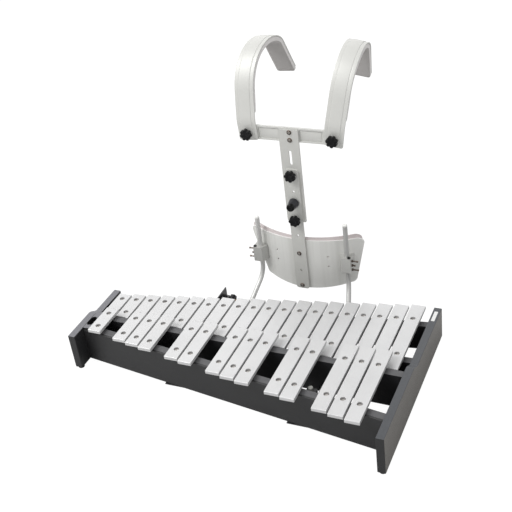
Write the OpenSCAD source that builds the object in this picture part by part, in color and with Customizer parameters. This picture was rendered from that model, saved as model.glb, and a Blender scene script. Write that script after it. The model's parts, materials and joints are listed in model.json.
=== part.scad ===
// Marching glockenspiel on a shoulder carrier.
// X runs along the keyboard towards the low notes, -Y is the audience side,
// +Z is up. Inside the modules x = 0 is the middle of the keyboard, y = 0 the
// line between the two rows of bars and z = 0 the floor under the feet.

/* [Bars] */
// Distance between neighbouring natural bars
bar_pitch = 37; // [34:0.5:44]
// Width of a bar
bar_w = 32; // [26:0.5:34]
// Thickness of a bar
bar_t = 8; // [6:0.5:10]
// Length of the lowest bar
low_bar_len = 233; // [215:1:250]
// Length of the highest bar
high_bar_len = 86; // [78:1:96]
// Distance of the inner post holes from the middle line, low end
low_node_y = 36; // [33:0.5:42]
// Distance of the inner post holes from the middle line, high end
high_node_y = 20; // [18:0.5:26]
// Height of the natural bars' top face above the floor
nat_top_z = 84; // [80:0.5:92]
// Height of the raised row above the natural row
row_rise = 22.2; // [19:0.1:28]
// Diameter of the hole in a bar at each post
bar_hole_d = 12; // [9:0.5:14]
// Edge break on the ends of a bar
bar_chamfer = 1; // [0.5:0.1:2]

/* [Bar posts] */
// Height of the rubber spacer under a bar
spacer_h = 6; // [4:0.5:8]
// Diameter of the rubber spacer
spacer_d = 16; // [14:0.5:20]
// Diameter of the post screw's head
post_head_d = 7.4; // [6:0.2:8]
// Height of the post screw's head
post_head_h = 2; // [1.4:0.1:2.6]
// Diameter of the post screw's shank
post_d = 4.2; // [3:0.1:5]
// Depth of the post screw in its rail
post_depth = 16; // [10:1:24]
// Room around a screw in its hole
screw_room = 0.15; // [0.1:0.05:0.3]

/* [Frame] */
// Thickness of an end plate
plate_t = 18; // [14:1:22]
// Gap between the highest bar and the left end plate
left_gap = 5.5; // [3:0.5:20]
// Gap between the lowest bar and the right end plate
right_gap = 19.5; // [4:0.5:28]
// Height of the end plates' raised front part above the floor
plate_front_z = 97.5; // [94:0.5:104]
// Height of the end plates' low rear part above the floor
plate_rear_z = 84; // [78:0.5:90]
// Length of the curved step between them
step_len = 34; // [24:1:50]
// Front end of the right plate, from the middle line
right_front_y = 237; // [228:1:255]
// Rear end of the right plate, from the middle line
right_rear_y = 217; // [205:1:230]
// Front end of the left plate, from the middle line
left_front_y = 115; // [106:1:130]
// Rear end of the left plate, from the middle line
left_rear_y = 97; // [90:1:110]
// Thickness of a rail
rail_t = 18; // [14:1:20]
// Thickness of the board on the front rail
panel_t = 5; // [3:0.5:8]
// Gap under the front board
panel_lift = 2; // [0:0.5:6]
// Height of a rubber foot
foot_h = 6; // [4:0.5:9]
// Diameter of a rubber foot
foot_d = 15; // [10:0.5:17]
// Distance from a foot's middle to the end of its plate
foot_inset = 10; // [9:0.5:24]
// Length of the blank strip on the right plate
strip_l = 36; // [16:1:40]
// Width of the blank strip
strip_w = 8; // [5:0.5:12]

/* [Carrier rods] */
// Diameter of a carrier rod
rod_d = 11.5; // [10:0.5:14]
// Distance between the two upright rods
rod_span = 223; // [200:1:236]
// Distance of the carrier's middle from the keyboard's middle
carrier_x = 54.5; // [40:0.5:70]
// Distance of the upright rods behind the middle line
rod_y = 268; // [262:1:290]
// Height of the left rod's top end
rod_left_z = 235; // [220:1:260]
// Height of the right rod's top end
rod_right_z = 241; // [220:1:260]
// Height where the rods start to bend forward
rod_bend_z = 79; // [70:1:90]
// Height of the rods' level run under the frame
rod_run_z = 15; // [14:0.5:20]
// Side step of the rods' level run at its front end
rod_splay = 46; // [40:1:54]
// Height of a rod's end cap
rod_cap_h = 4; // [2:0.5:6]
// Room around a rod in the rails
rod_room = 2; // [1.5:0.5:4]

/* [Rod saddles] */
// Width of a saddle's base plate under the front rail
saddle_w = 60; // [40:1:70]
// Thickness of the base plate
saddle_t = 2; // [1.5:0.1:3]
// Size of the block that holds a rod's upturned end
saddle_block = 22; // [20:0.5:26]
// Height of that block
saddle_h = 26; // [20:1:34]
// Rod's upturned end above the floor
rod_end_z = 85; // [80:1:94]

/* [Knobs] */
// Diameter of a star knob
knob_d = 28; // [24:1:32]
// Height of a star knob's head
knob_h = 12; // [9:0.5:16]
// Height of the collar under a star knob's head
collar_h = 5; // [3:0.5:8]
// Diameter of a star knob's stud
stud_d = 6; // [5:0.5:8]
// Radial room around a stud
stud_room = 0.3; // [0.2:0.05:0.6]
// Widest diameter of the pull knob
pull_base_d = 25; // [24:1:30]
// Diameter of the pull knob's outer end
pull_tip_d = 19; // [15:1:22]
// Length of the pull knob
pull_len = 28; // [20:1:30]
// Thickness of the nut plates behind the spine
nut_t = 5; // [4:0.5:7]
// Size of those nut plates
nut_w = 15; // [13:0.5:18]

/* [Belly plate] */
// Outer radius of the curved plate
belly_r = 250; // [235:1:280]
// Thickness of the plate
belly_t = 3; // [2:0.5:4]
// Distance of the plate's front from the middle line
belly_y = 257; // [256:0.5:260]
// Width of the plate across its ends
belly_w = 288; // [268:1:296]
// Top edge of the plate above the floor
belly_top_z = 194; // [186:1:202]
// Lowest point of the plate above the floor
belly_bot_z = 58; // [52:1:66]
// Thickness of the foam pad
pad_t = 11; // [8:0.5:16]
// How far the pad stands above the plate
pad_over = 11; // [4:0.5:13]

/* [Rod clamps] */
// Width of a clamp block's front face
clamp_w = 22; // [21:0.5:26]
// Height of a clamp block
clamp_h = 40; // [30:1:42]
// Lower face of a clamp block above the floor
clamp_z = 116; // [114:1:126]
// Block in front of the rod's middle
clamp_front = 11; // [10:0.5:14]
// Radial room of a rod in its clamp
clamp_room = 0.05; // [0.03:0.01:0.1]

/* [Spine] */
// Width of the lower spine
low_spine_w = 33; // [30:1:40]
// Thickness of the lower spine
low_spine_t = 4; // [3:0.5:6]
// Top end of the lower spine above the floor
low_spine_top = 384; // [376:1:392]
// Lower end of the lower spine above the floor
low_spine_bot = 57; // [48:1:64]
// Width of the upper spine
up_spine_w = 47; // [42:1:54]
// Thickness of the upper spine
up_spine_t = 4; // [3:0.5:6]
// Lower end of the upper spine above the floor
up_spine_bot = 245; // [240:1:252]
// Width of the slots in the upper spine
slot_w = 6.8; // [6.7:0.1:9]
// Diameter of the holes that the plunger drops into
index_d = 9.4; // [9:0.1:11]
// Distance between those holes
index_step = 12; // [11:0.5:16]
// Diameter of the spare holes in the lower spine
spare_d = 6; // [4:0.5:8]

/* [Crossbar] */
// Length of the crossbar
bar_len = 238; // [228:1:260]
// Height of the crossbar
bar_h = 34; // [30:1:40]
// Thickness of the crossbar
bar_thick = 6; // [5:0.5:8]
// Width of the raised edge along the crossbar
bar_rim = 4; // [3:0.5:6]
// Depth of the sunk middle of the crossbar
bar_sink = 1.6; // [0.6:0.1:2]
// Middle of the crossbar above the floor
bar_mid_z = 468; // [460:1:480]
// Hook bolts below the crossbar's middle line
bolt_drop = 1; // [0:0.5:6]
// Distance between the two shoulder hooks' bolts
hook_span = 205; // [190:1:216]

/* [Shoulder hooks] */
// Width of a shoulder hook
hook_w = 46; // [38:1:52]
// Thickness of a shoulder hook
hook_t = 3; // [2.5:0.5:4]
// Width of the raised middle band
band_w = 26; // [18:1:32]
// Height of the raised middle band
band_h = 0.9; // [0.5:0.1:1.4]
// Hook's lower end below its bolt
foot_below = 18; // [16:1:24]
// Straight foot above the crossbar's top edge
foot_clear = 12; // [11.5:0.5:16]
// Length of the straight rising part
rise_len = 66.5; // [50:0.5:80]
// Backward slope of the rising part, degrees
rise_slope = 11; // [4:0.1:13]
// Radius of the crown where it starts
crown_r0 = 131; // [110:0.5:140]
// Radius of the crown where it ends
crown_r1 = 22; // [18:0.5:34]
// Turn of the crown, degrees
crown_turn = 146; // [135:0.5:150]
// Length of the straight back part
tail_len = 84; // [60:0.5:95]
// Outward lean of the left hook, degrees
left_lean = 3.5; // [-4:0.5:10]
// Outward lean of the right hook, degrees
right_lean = 9; // [-4:0.5:12]
// Sideways step of the left hook per length backward
left_toe = 0.2; // [0:0.01:0.25]
// Sideways step of the right hook per length backward
right_toe = 0.01; // [0:0.01:0.25]
// Width of the foam pad under a hook
hook_pad_w = 45; // [34:1:48]
// Thickness of that pad
hook_pad_t = 9.5; // [7:0.5:12]
// Where the pad starts above the hook's bolt
pad_start = 50; // [40:1:70]
// How far the pad stands past the hook's back end
pad_past = 5; // [2:0.5:8]

/* [Lyre holder] */
// Reach of the holder's arm behind the rear rail
lyre_arm_l = 80; // [66:1:90]
// Height of the arm's side plate
lyre_arm_h = 42; // [34:1:46]
// Top of the side plate below the bars' top face
lyre_drop = 10; // [9:0.5:14]
// Steel thickness of the arm
lyre_t = 2.5; // [2:0.5:4]
// Diameter of the bore for a lyre's stem
lyre_bore_d = 7; // [6:0.1:8]
// Width of the block with that bore
socket_w = 13; // [12:0.5:16]
// Length of the block
socket_l = 18; // [14:1:24]
// Height of the block
socket_h = 22; // [18:1:26]
// Block in front of the arm's back end
socket_in = 10; // [6:1:16]
// Position of the bore along the keyboard
lyre_x = -118.5; // [-150:0.5:-100]

/* [Hidden] */
$fn = 48;

// keyboard
// natural bars counted from the low end, and the gaps between raised bars
nat_count = 20;
nat_groups = [[0, 4], [4, 3], [7, 4], [11, 3], [14, 4], [18, 2]];
raised_groups = [[0.5, 1.5, 2.5], [4.5, 5.5], [7.5, 8.5, 9.5], [11.5, 12.5], [14.5, 15.5, 16.5], [18.5]];
node_share = 0.2242;                       // still points of a free bar
function bar_x(i) = ((nat_count - 1) / 2 - i) * bar_pitch;
x_low = bar_x(0);
x_high = bar_x(nat_count - 1);
function along(x, lo, hi) = hi + (lo - hi) * (x - x_high) / (x_low - x_high);
function bar_len_at(x) = along(x, low_bar_len, high_bar_len);
function near_y(x) = along(x, low_node_y, high_node_y);
function far_y(x) = near_y(x) + (1 - 2 * node_share) * bar_len_at(x);
function over_y(x) = node_share * bar_len_at(x);

raised_top_z = nat_top_z + row_rise;
nat_rail_z = nat_top_z - bar_t - spacer_h;
raised_rail_z = raised_top_z - bar_t - spacer_h;
left_in = x_high - bar_w / 2 - left_gap;
right_in = x_low + bar_w / 2 + right_gap;
left_out = left_in - plate_t;
right_out = right_in + plate_t;

// rods
// plan points of one rod: side is -1 for the high end and 1 for the low end
rod_r = rod_d / 2;
function rod_x(s) = carrier_x + s * rod_span / 2;
function rod_top(s) = s < 0 ? rod_left_z : rod_right_z;
drop_y = rod_y - 71;                       // where the slanted part reaches the level run
function drop_x(s) = rod_x(s) + s * 18;
function end_x(s) = rod_x(s) + s * rod_splay;
knob_gap = 0.3;                            // under a knob's collar
seat_gap = 0.3;                            // between curved faces that seat on each other
function end_y(s) = -far_y(end_x(s)) + rail_t / 2 + slope_room + saddle_block / 2 + seat_gap;
slope_room = 2.4;                          // the front rail runs at a slant past the block
function rod_knee(s) = [
  [rod_x(s), rod_y, rod_bend_z],
  [drop_x(s), drop_y, rod_run_z],
  [end_x(s), end_y(s), rod_run_z]];
function x_on_run(s, y) = end_x(s) + (drop_x(s) - end_x(s)) * (y - end_y(s)) / (drop_y - end_y(s));

// carrier levels
spine_y = belly_y;                         // back of the lower spine, front of the upper one
upper_back_y = spine_y + up_spine_t;       // front of the crossbar
hook_front_y = upper_back_y - hook_t - seat_gap;
spine_x = carrier_x - 2.5;                 // the spine stands a little towards the high end
hook_shift = 1;                            // and the hooks a little towards the low end
function hook_x(s) = carrier_x + hook_shift + s * hook_span / 2;
knob_up_z = low_spine_top - 12;
knob_low_z = up_spine_bot + 9;
plunger_z = 299;
bolt_z = bar_mid_z - bolt_drop;
foot_above = bar_h / 2 + bolt_drop + foot_clear;   // the hook leans back only above the crossbar
slot_top = low_spine_top - 6;
short_slot = [394, 430];

// helpers
module at_x(x, y, z) translate([x, y, z]) rotate([0, 90, 0]) children();
module at_front(x, y, z) translate([x, y, z]) rotate([90, 0, 0]) children();

// star knob on +Z: stud below z = 0, collar and lobed head above
lobes = 7;
lobe_r = knob_d * 0.17;
star_line = [for (a = [0:lobes - 1], b = [-80:20:80]) let (t = a * 360 / lobes)
  [(knob_d / 2 - lobe_r) * cos(t) + lobe_r * cos(t + b), (knob_d / 2 - lobe_r) * sin(t) + lobe_r * sin(t + b)]];
module star_knob(stud) {
  color([0.1, 0.1, 0.11]) {
    cylinder(d = knob_d * 0.5, h = collar_h + 0.5);
    translate([0, 0, collar_h]) linear_extrude(height = knob_h - 1) polygon(star_line);
    translate([0, 0, collar_h + 1]) cylinder(d = knob_d * 0.7, h = knob_h - 1);
  }
  color([0.7, 0.7, 0.7]) translate([0, 0, -stud]) cylinder(d = stud_d, h = stud + 0.5);
}
// pan head screw on +Z, shank below z = 0
module screw(head, head_h, shank, len) {
  difference() {
    union() {
      cylinder(d = head, h = head_h);
      translate([0, 0, -len]) cylinder(d = shank, h = len + 0.1);
    }
    translate([0, 0, head_h - head_h * 0.5]) cylinder(d = head * 0.42, h = head_h, $fn = 6);
  }
}
// triangles of a sweep of n rings with m points each, both ends closed by cap
function capped_faces(n, m, cap) = concat(
  [for (i = [0:n - 2], j = [0:m - 1]) [i * m + j, i * m + (j + 1) % m, (i + 1) * m + j]],
  [for (i = [0:n - 2], j = [0:m - 1]) [i * m + (j + 1) % m, (i + 1) * m + (j + 1) % m, (i + 1) * m + j]],
  [for (t = cap) [t[0], t[2], t[1]]],
  [for (t = cap) [for (v = t) (n - 1) * m + v]]);
function sweep_faces(n, m) = capped_faces(n, m, [for (j = [1:m - 2]) [0, j, j + 1]]);

// end plates
// side outline [y, z] of a plate that reaches y0 in front and y1 behind
function plate_outline(y0, y1) = concat(
  [[y1, foot_h], [y1, plate_rear_z]],
  [for (k = [0:12]) let (f = k / 12)
    [step_len / 2 - 5 - f * step_len, plate_rear_z + (plate_front_z - plate_rear_z) * (0.5 - 0.5 * cos(180 * f))]],
  [[y0, plate_front_z], [y0, foot_h]]);
module end_plate(x, y0, y1) {
  color([0.24, 0.24, 0.26]) translate([x, 0, 0]) rotate([90, 0, 90])
    linear_extrude(height = plate_t) polygon(plate_outline(y0, y1));
}
module left_end_plate() { end_plate(left_out, -left_front_y, left_rear_y); }
module right_end_plate() { end_plate(right_in, -right_front_y, right_rear_y); }
module rubber_feet() {
  color([0.08, 0.08, 0.08])
    for (p = [[left_out + plate_t / 2, -left_front_y + foot_inset], [left_out + plate_t / 2, left_rear_y - foot_inset],
              [right_in + plate_t / 2, -right_front_y + foot_inset], [right_in + plate_t / 2, right_rear_y - foot_inset]])
      translate([p[0], p[1], 0]) {
        cylinder(d1 = foot_d - 3, d2 = foot_d, h = 1.5);
        translate([0, 0, 1.5]) cylinder(d = foot_d, h = foot_h - 1.5);
      }
}
strip_in = 15.6;
module blank_strip() {
  color([0.8, 0.8, 0.8])
    translate([right_in + plate_t / 2 - strip_w / 2, right_rear_y - strip_in - strip_l, plate_rear_z]) cube([strip_w, strip_l, 0.4]);
}

// rails
// a board between the plates along y = f0 at the high end and f1 at the low end
module slant_board(f0, f1, t, z0, z1) {
  translate([0, 0, z0]) linear_extrude(height = z1 - z0)
    polygon([[left_in, f0 - t / 2], [right_in, f1 - t / 2], [right_in, f1 + t / 2], [left_in, f0 + t / 2]]);
}
// mouse holes at the bottom of a rail for the two rods
module rod_passes(ya, yb) {
  w = rod_d + 2 * rod_room;
  for (s = [-1, 1]) {
    x = x_on_run(s, (ya + yb) / 2);
    translate([x, 0, rod_run_z]) rotate([90, 0, 0]) cylinder(d = w + 2, h = 2 * rod_y, center = true);
    translate([x - w / 2 - 1, -rod_y, -1]) cube([w + 2, 2 * rod_y, rod_run_z + 1]);
  }
}
// holes for the post screws of a rail whose top is at z
module post_holes(list, z) {
  for (p = list) translate([p[0], p[1], z - post_depth - 1]) cylinder(r = post_d / 2 + screw_room, h = post_depth + 2);
}
module front_rail() {
  color([0.2, 0.2, 0.21]) difference() {
    slant_board(-far_y(left_in), -far_y(right_in), rail_t, foot_h, raised_rail_z);
    post_holes([for (i = raised_all) [bar_x(i), -far_y(bar_x(i))]], raised_rail_z);
    for (s = [-1, 1], dx = saddle_screw_x) translate([end_x(s) + saddle_block / 2 - dx, -far_y(end_x(s) + saddle_block / 2 - dx), foot_h - 1])
      cylinder(r = saddle_screw_d / 2 + screw_room, h = saddle_screw_l + 2);
  }
}
module front_board() {
  off = (rail_t + panel_t) / 2;
  color([0.14, 0.14, 0.15]) slant_board(-far_y(left_in) - off, -far_y(right_in) - off, panel_t, foot_h + panel_lift, raised_rail_z);
}
module raised_row_rail() {
  color([0.2, 0.2, 0.21]) difference() {
    slant_board(-near_y(left_in), -near_y(right_in), rail_t, foot_h, raised_rail_z);
    rod_passes(-near_y(0), -near_y(0));
    post_holes([for (i = raised_all) [bar_x(i), -near_y(bar_x(i))]], raised_rail_z);
  }
}
module natural_row_rail() {
  color([0.2, 0.2, 0.21]) difference() {
    slant_board(near_y(left_in), near_y(right_in), rail_t, foot_h, nat_rail_z);
    rod_passes(near_y(0), near_y(0));
    post_holes([for (i = [0:nat_count - 1]) [bar_x(i), near_y(bar_x(i))]], nat_rail_z);
  }
}
module rear_rail() {
  color([0.2, 0.2, 0.21]) difference() {
    slant_board(far_y(left_in), far_y(right_in), rail_t, foot_h, nat_rail_z);
    rod_passes(far_y(0), far_y(0));
    post_holes([for (i = [0:nat_count - 1]) [bar_x(i), far_y(bar_x(i))]], nat_rail_z);
    lyre_screw_place() cylinder(r = lyre_screw_d / 2 + screw_room, h = 2 * lyre_screw_l, center = true);
  }
}
// board with a hand hole between the left plate and the first raised bar
hand_x = left_in + 30;
hand_front = -far_y(left_in) - rail_t / 2 - 3;
hand_rear = -near_y(left_in) + rail_t / 2;
hand_hole = [[left_in + 7.8, -39], [left_in + 7.8, -57]];   // ends of the oblong hole
hand_hole_d = 14;
module hand_board() {
  color([0.24, 0.24, 0.26]) difference() {
    translate([left_in, hand_front, raised_rail_z]) cube([hand_x - left_in, hand_rear - hand_front, plate_front_z - raised_rail_z]);
    hull() for (p = hand_hole) translate([p[0], p[1], raised_rail_z - 1]) cylinder(d = hand_hole_d, h = plate_front_z - raised_rail_z + 2);
  }
}

// bars
// one bar at x: dir 1 for the natural row, -1 for the raised row
module bar(x, dir, top) {
  l = bar_len_at(x);
  y0 = near_y(x) - over_y(x);
  c = bar_chamfer;
  difference() {
    translate([x, dir > 0 ? y0 : -y0 - l, top - bar_t]) rotate([90, 0, 90]) translate([0, 0, -bar_w / 2])
      linear_extrude(height = bar_w)
        polygon([[0, 0], [l, 0], [l, bar_t - c], [l - c, bar_t], [c, bar_t], [0, bar_t - c]]);
    for (y = [near_y(x), far_y(x)]) translate([x, dir * y, top - bar_t - 1]) cylinder(d = bar_hole_d, h = bar_t + 2);
  }
}
module natural_group(k) {
  color([0.86, 0.86, 0.87]) for (j = [0:nat_groups[k][1] - 1]) bar(bar_x(nat_groups[k][0] + j), 1, nat_top_z);
}
module raised_group(k) {
  color([0.86, 0.86, 0.87]) for (i = raised_groups[k]) bar(bar_x(i), -1, raised_top_z);
}
// every post: [x, y, top of its bar]
raised_all = [for (g = raised_groups, i = g) i];
posts = concat(
  [for (i = [0:nat_count - 1]) [bar_x(i), near_y(bar_x(i)), nat_top_z]],
  [for (i = [0:nat_count - 1]) [bar_x(i), far_y(bar_x(i)), nat_top_z]],
  [for (i = raised_all) [bar_x(i), -near_y(bar_x(i)), raised_top_z]],
  [for (i = raised_all) [bar_x(i), -far_y(bar_x(i)), raised_top_z]]);
bush_gap = 0.2;
post_sink = 3.5;                            // the screws' heads stand below the bars' tops
module bar_spacers() {
  color([0.25, 0.2, 0.17]) for (p = posts) translate([p[0], p[1], p[2] - bar_t]) difference() {
    union() {
      translate([0, 0, -spacer_h]) cylinder(d = spacer_d, h = spacer_h);
      translate([0, 0, -0.1]) cylinder(d = bar_hole_d - 2 * bush_gap, h = bar_t - post_head_h - post_sink + 0.1);
    }
    translate([0, 0, -spacer_h - 1]) cylinder(d = post_d + 0.4, h = bar_t + spacer_h + 2);
  }
}
module post_screws() {
  color([0.8, 0.8, 0.8]) for (p = posts) translate([p[0], p[1], p[2] - post_head_h - post_sink])
    screw(post_head_d, post_head_h, post_d, bar_t - post_head_h - post_sink + spacer_h + post_depth);
}

// rods and saddles
// points along the bent part of a rod: each knee is rounded by a parabola
function knee(a, b, c, r, n) = let (p = b + r * (a - b) / norm(a - b), q = b + r * (c - b) / norm(c - b))
  [for (k = [0:n]) let (t = k / n) (1 - t) * (1 - t) * p + 2 * t * (1 - t) * b + t * t * q];
function rod_path(s) = let (k = rod_knee(s), top = [rod_x(s), rod_y, rod_bend_z + 40], up = [end_x(s), end_y(s), rod_end_z])
  concat([top - [0, 0, 12]], knee(top, k[0], k[1], 26, 6), knee(k[0], k[1], k[2], 34, 6), knee(k[1], k[2], up, 22, 7), [up]);
function unit(v) = v / norm(v);
function tangent(p, i) = i == 0 ? unit(p[1] - p[0]) : i == len(p) - 1 ? unit(p[i] - p[i - 1]) : unit(unit(p[i + 1] - p[i]) + unit(p[i] - p[i - 1]));
rod_sides = 20;
bend_r = rod_r - 0.04;                     // the bent part ends inside the straight one
module rod(s) {
  p = rod_path(s);
  n = len(p);
  pts = [for (i = [0:n - 1]) let (t = tangent(p, i), u = [1, 0, 0] - t[0] * t, e = unit(u), f = cross(t, e))
    for (j = [0:rod_sides - 1]) p[i] + bend_r * (cos(j * 360 / rod_sides) * e + sin(j * 360 / rod_sides) * f)];
  color([0.78, 0.78, 0.76]) {
    polyhedron(pts, [for (f = sweep_faces(n, rod_sides)) [f[0], f[2], f[1]]], convexity = 6);
    translate([rod_x(s), rod_y, rod_bend_z + 27]) cylinder(d = rod_d, h = rod_top(s) - rod_bend_z - 27);
  }
}
module rod_left() { rod(-1); }
module rod_right() { rod(1); }
module rod_caps() {
  color([0.92, 0.92, 0.9]) for (s = [-1, 1]) {
    translate([rod_x(s), rod_y, rod_top(s)]) {
      cylinder(d = rod_d, h = rod_cap_h - 1);
      translate([0, 0, rod_cap_h - 1]) cylinder(d1 = rod_d, d2 = rod_d - 2, h = 1);
    }
    translate([end_x(s), end_y(s), rod_end_z]) {
      cylinder(d = rod_d, h = rod_cap_h - 1);
      translate([0, 0, rod_cap_h - 1]) cylinder(d1 = rod_d, d2 = rod_d - 2, h = 1);
    }
  }
}
saddle_top = rod_end_z - 8;
module saddle(s) {
  x = end_x(s); y = end_y(s); b = saddle_block / 2;
  back = -far_y(x);
  color([0.16, 0.16, 0.17]) difference() {
    union() {
      translate([x - b, y - b, saddle_top - saddle_h]) cube([2 * b, 2 * b, saddle_h]);
      // web on the rail's rear face and foot under the rail
      translate([x - b, y - b, foot_h - saddle_t]) cube([saddle_t + 1, saddle_t + 1, saddle_top - saddle_h - foot_h + saddle_t + 1]);
      translate([x + b - saddle_t - 1, y - b, foot_h - saddle_t]) cube([saddle_t + 1, saddle_t + 1, saddle_top - saddle_h - foot_h + saddle_t + 1]);
      translate([x + b - saddle_w, back - rail_t / 2 - 1, foot_h - saddle_t]) cube([saddle_w, y - b + saddle_t + 1 - back + rail_t / 2 + 1, saddle_t]);
    }
    translate([x, y, saddle_top - saddle_h - 1]) cylinder(r = rod_r + 0.1, h = saddle_h + 2);
    for (dx = saddle_screw_x) translate([x + b - dx, -far_y(x + b - dx), 0]) cylinder(r = saddle_screw_d / 2 + screw_room, h = foot_h + 2);
    at_x(x, y, saddle_top - saddle_h / 2) cylinder(d = stud_d + 2 * stud_room, h = b + 2);
  }
}
module saddle_left() { saddle(-1); }
module saddle_right() { saddle(1); }
saddle_screw_x = [12, saddle_w - 12];
saddle_screw_d = 3.5;
saddle_screw_l = 12;
module saddle_screws() {
  color([0.5, 0.5, 0.5]) for (s = [-1, 1], dx = saddle_screw_x)
    translate([end_x(s) + saddle_block / 2 - dx, -far_y(end_x(s) + saddle_block / 2 - dx), foot_h - saddle_t])
      rotate([180, 0, 0]) screw(7, 2, saddle_screw_d, saddle_t + saddle_screw_l);
}
module saddle_knob(s) {
  at_x(end_x(s) + saddle_block / 2 + knob_gap, end_y(s), saddle_top - saddle_h / 2) star_knob(saddle_block / 2 - rod_r - 0.3);
}
module saddle_knob_left() { saddle_knob(-1); }
module saddle_knob_right() { saddle_knob(1); }

// lyre holder
// the side plate lies on the high end's side of the block, the knob on the other
socket_room = 0.2;
plate_x1 = lyre_x - socket_w / 2 - socket_room;
plate_x0 = plate_x1 - lyre_t;
block_x1 = lyre_x + socket_w / 2;
function rear_face(x) = far_y(x) + rail_t / 2;
lyre_end = rear_face(plate_x0) + lyre_arm_l;
lyre_top = nat_top_z - lyre_drop;
socket_y = lyre_end - socket_in - socket_l / 2;
socket_top = lyre_top - 15;
floor_z = socket_top - socket_h;
knob_z = socket_top - 6;
lyre_slant = atan((rear_face(block_x1) - rear_face(plate_x0)) / (block_x1 - plate_x0));
lyre_screw_d = 4;
lyre_screw_l = 12;
module lyre_arm() {
  flange = 34;
  color([0.15, 0.15, 0.16]) difference() {
    union() {
      // side plate with its lower edge rising to the back
      translate([plate_x1, 0, 0]) rotate([90, 0, -90]) linear_extrude(height = lyre_t)
        polygon([[-rear_face(plate_x0) - 1, lyre_top - 1], [-rear_face(plate_x0) - 3, lyre_top], [-lyre_end, lyre_top],
          [-lyre_end, floor_z + 8], [-lyre_end + 12, floor_z - lyre_t], [-rear_face(plate_x0) - 1, lyre_top - lyre_arm_h]]);
      // floor under the block
      translate([plate_x0, socket_y - socket_l / 2 - 3, floor_z - lyre_t]) cube([block_x1 - plate_x0, socket_l + 4, lyre_t]);
      // flange on the rear rail
      translate([0, 0, lyre_top - lyre_arm_h]) linear_extrude(height = flange)
        polygon([[plate_x0, rear_face(plate_x0)], [plate_x0 + 30, rear_face(plate_x0 + 30)], [plate_x0 + 30, rear_face(plate_x0 + 30) + lyre_t], [plate_x0, rear_face(plate_x0) + lyre_t]]);
    }
    lyre_screw_place() cylinder(r = lyre_screw_d / 2 + screw_room, h = 20, center = true);
  }
}
// both screws stand square to the slanted rail
module lyre_screw_place() {
  x = plate_x0 + 18;
  for (z = [lyre_top - lyre_arm_h + 8, lyre_top - lyre_arm_h + 26])
    translate([x, rear_face(x) + lyre_t, z]) rotate([0, 0, lyre_slant]) rotate([-90, 0, 0]) children();
}
module lyre_screws() {
  color([0.5, 0.5, 0.5]) lyre_screw_place() screw(8, 2.2, lyre_screw_d, lyre_t + lyre_screw_l - 3);
}
module lyre_socket() {
  color([0.2, 0.2, 0.2]) difference() {
    translate([lyre_x - socket_w / 2, socket_y - socket_l / 2, floor_z]) cube([socket_w, socket_l, socket_h]);
    translate([lyre_x, socket_y, floor_z + 2]) cylinder(d = lyre_bore_d, h = socket_h);
    at_x(lyre_x, socket_y, knob_z) cylinder(d = stud_d + 2 * stud_room, h = socket_w);
  }
}
module lyre_knob() {
  at_x(block_x1 + knob_gap, socket_y, knob_z) star_knob(socket_w / 2 - lyre_bore_d / 2 - 0.5);
}
module lyre_stud() {
  color([0.6, 0.45, 0.25]) at_x(block_x1 + knob_gap + collar_h + knob_h, socket_y, knob_z) {
    cylinder(d = 6, h = 5);
    translate([0, 0, 5]) cylinder(d1 = 6, d2 = 4, h = 1);
  }
}

// belly plate
corner_top = 16;
corner_low = 12;
function side_in(s) = s < 0 ? 40 : 18;     // the sides are drawn in towards the bottom, the left one more
sag = 15;                                  // its lower edge hangs down in the middle
plate_holes = [[-66, 125], [-66, 152], [64, 123], [64, 150]];
plate_hole_d = 5;
function arc(cx, cz, r, a0, a1, n) = [for (k = [0:n]) let (a = a0 + (a1 - a0) * k / n) [cx + r * cos(a), cz + r * sin(a)]];
function low_x(s, w) = w / 2 - side_in(s) - corner_low;
function plate_edge(w, top, bot) = let (x1 = w / 2 - corner_top, zl = bot + sag + corner_low)
  concat(
    [for (k = [-8:8]) [low_x(k, w) * k / 8, bot + sag * pow(k / 8, 2)]],
    arc(low_x(1, w), zl, corner_low, -82, 0, 8),
    arc(x1, top - corner_top, corner_top, 0, 90, 6),
    arc(-x1, top - corner_top, corner_top, 90, 180, 6),
    arc(-low_x(-1, w), zl, corner_low, 180, 262, 8));
module belly_plate() {
  color([0.8, 0.8, 0.78]) difference() {
    intersection() {
      translate([carrier_x, belly_y + belly_r, 0]) difference() {
        cylinder(r = belly_r, h = 300, $fn = 180);
        translate([0, 0, -1]) cylinder(r = belly_r - belly_t, h = 302, $fn = 180);
      }
      translate([carrier_x, belly_y + 120, 0]) rotate([90, 0, 0]) linear_extrude(height = 140)
        polygon(plate_edge(belly_w, belly_top_z, belly_bot_z));
    }
    for (z = spine_screw_z) at_front(spine_screw_x, belly_y + 20, z) cylinder(d = 5.4, h = 40);
    for (h = plate_holes) at_front(carrier_x + h[0], belly_y + 30, h[1]) cylinder(d = plate_hole_d, h = 50);
  }
}
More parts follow.
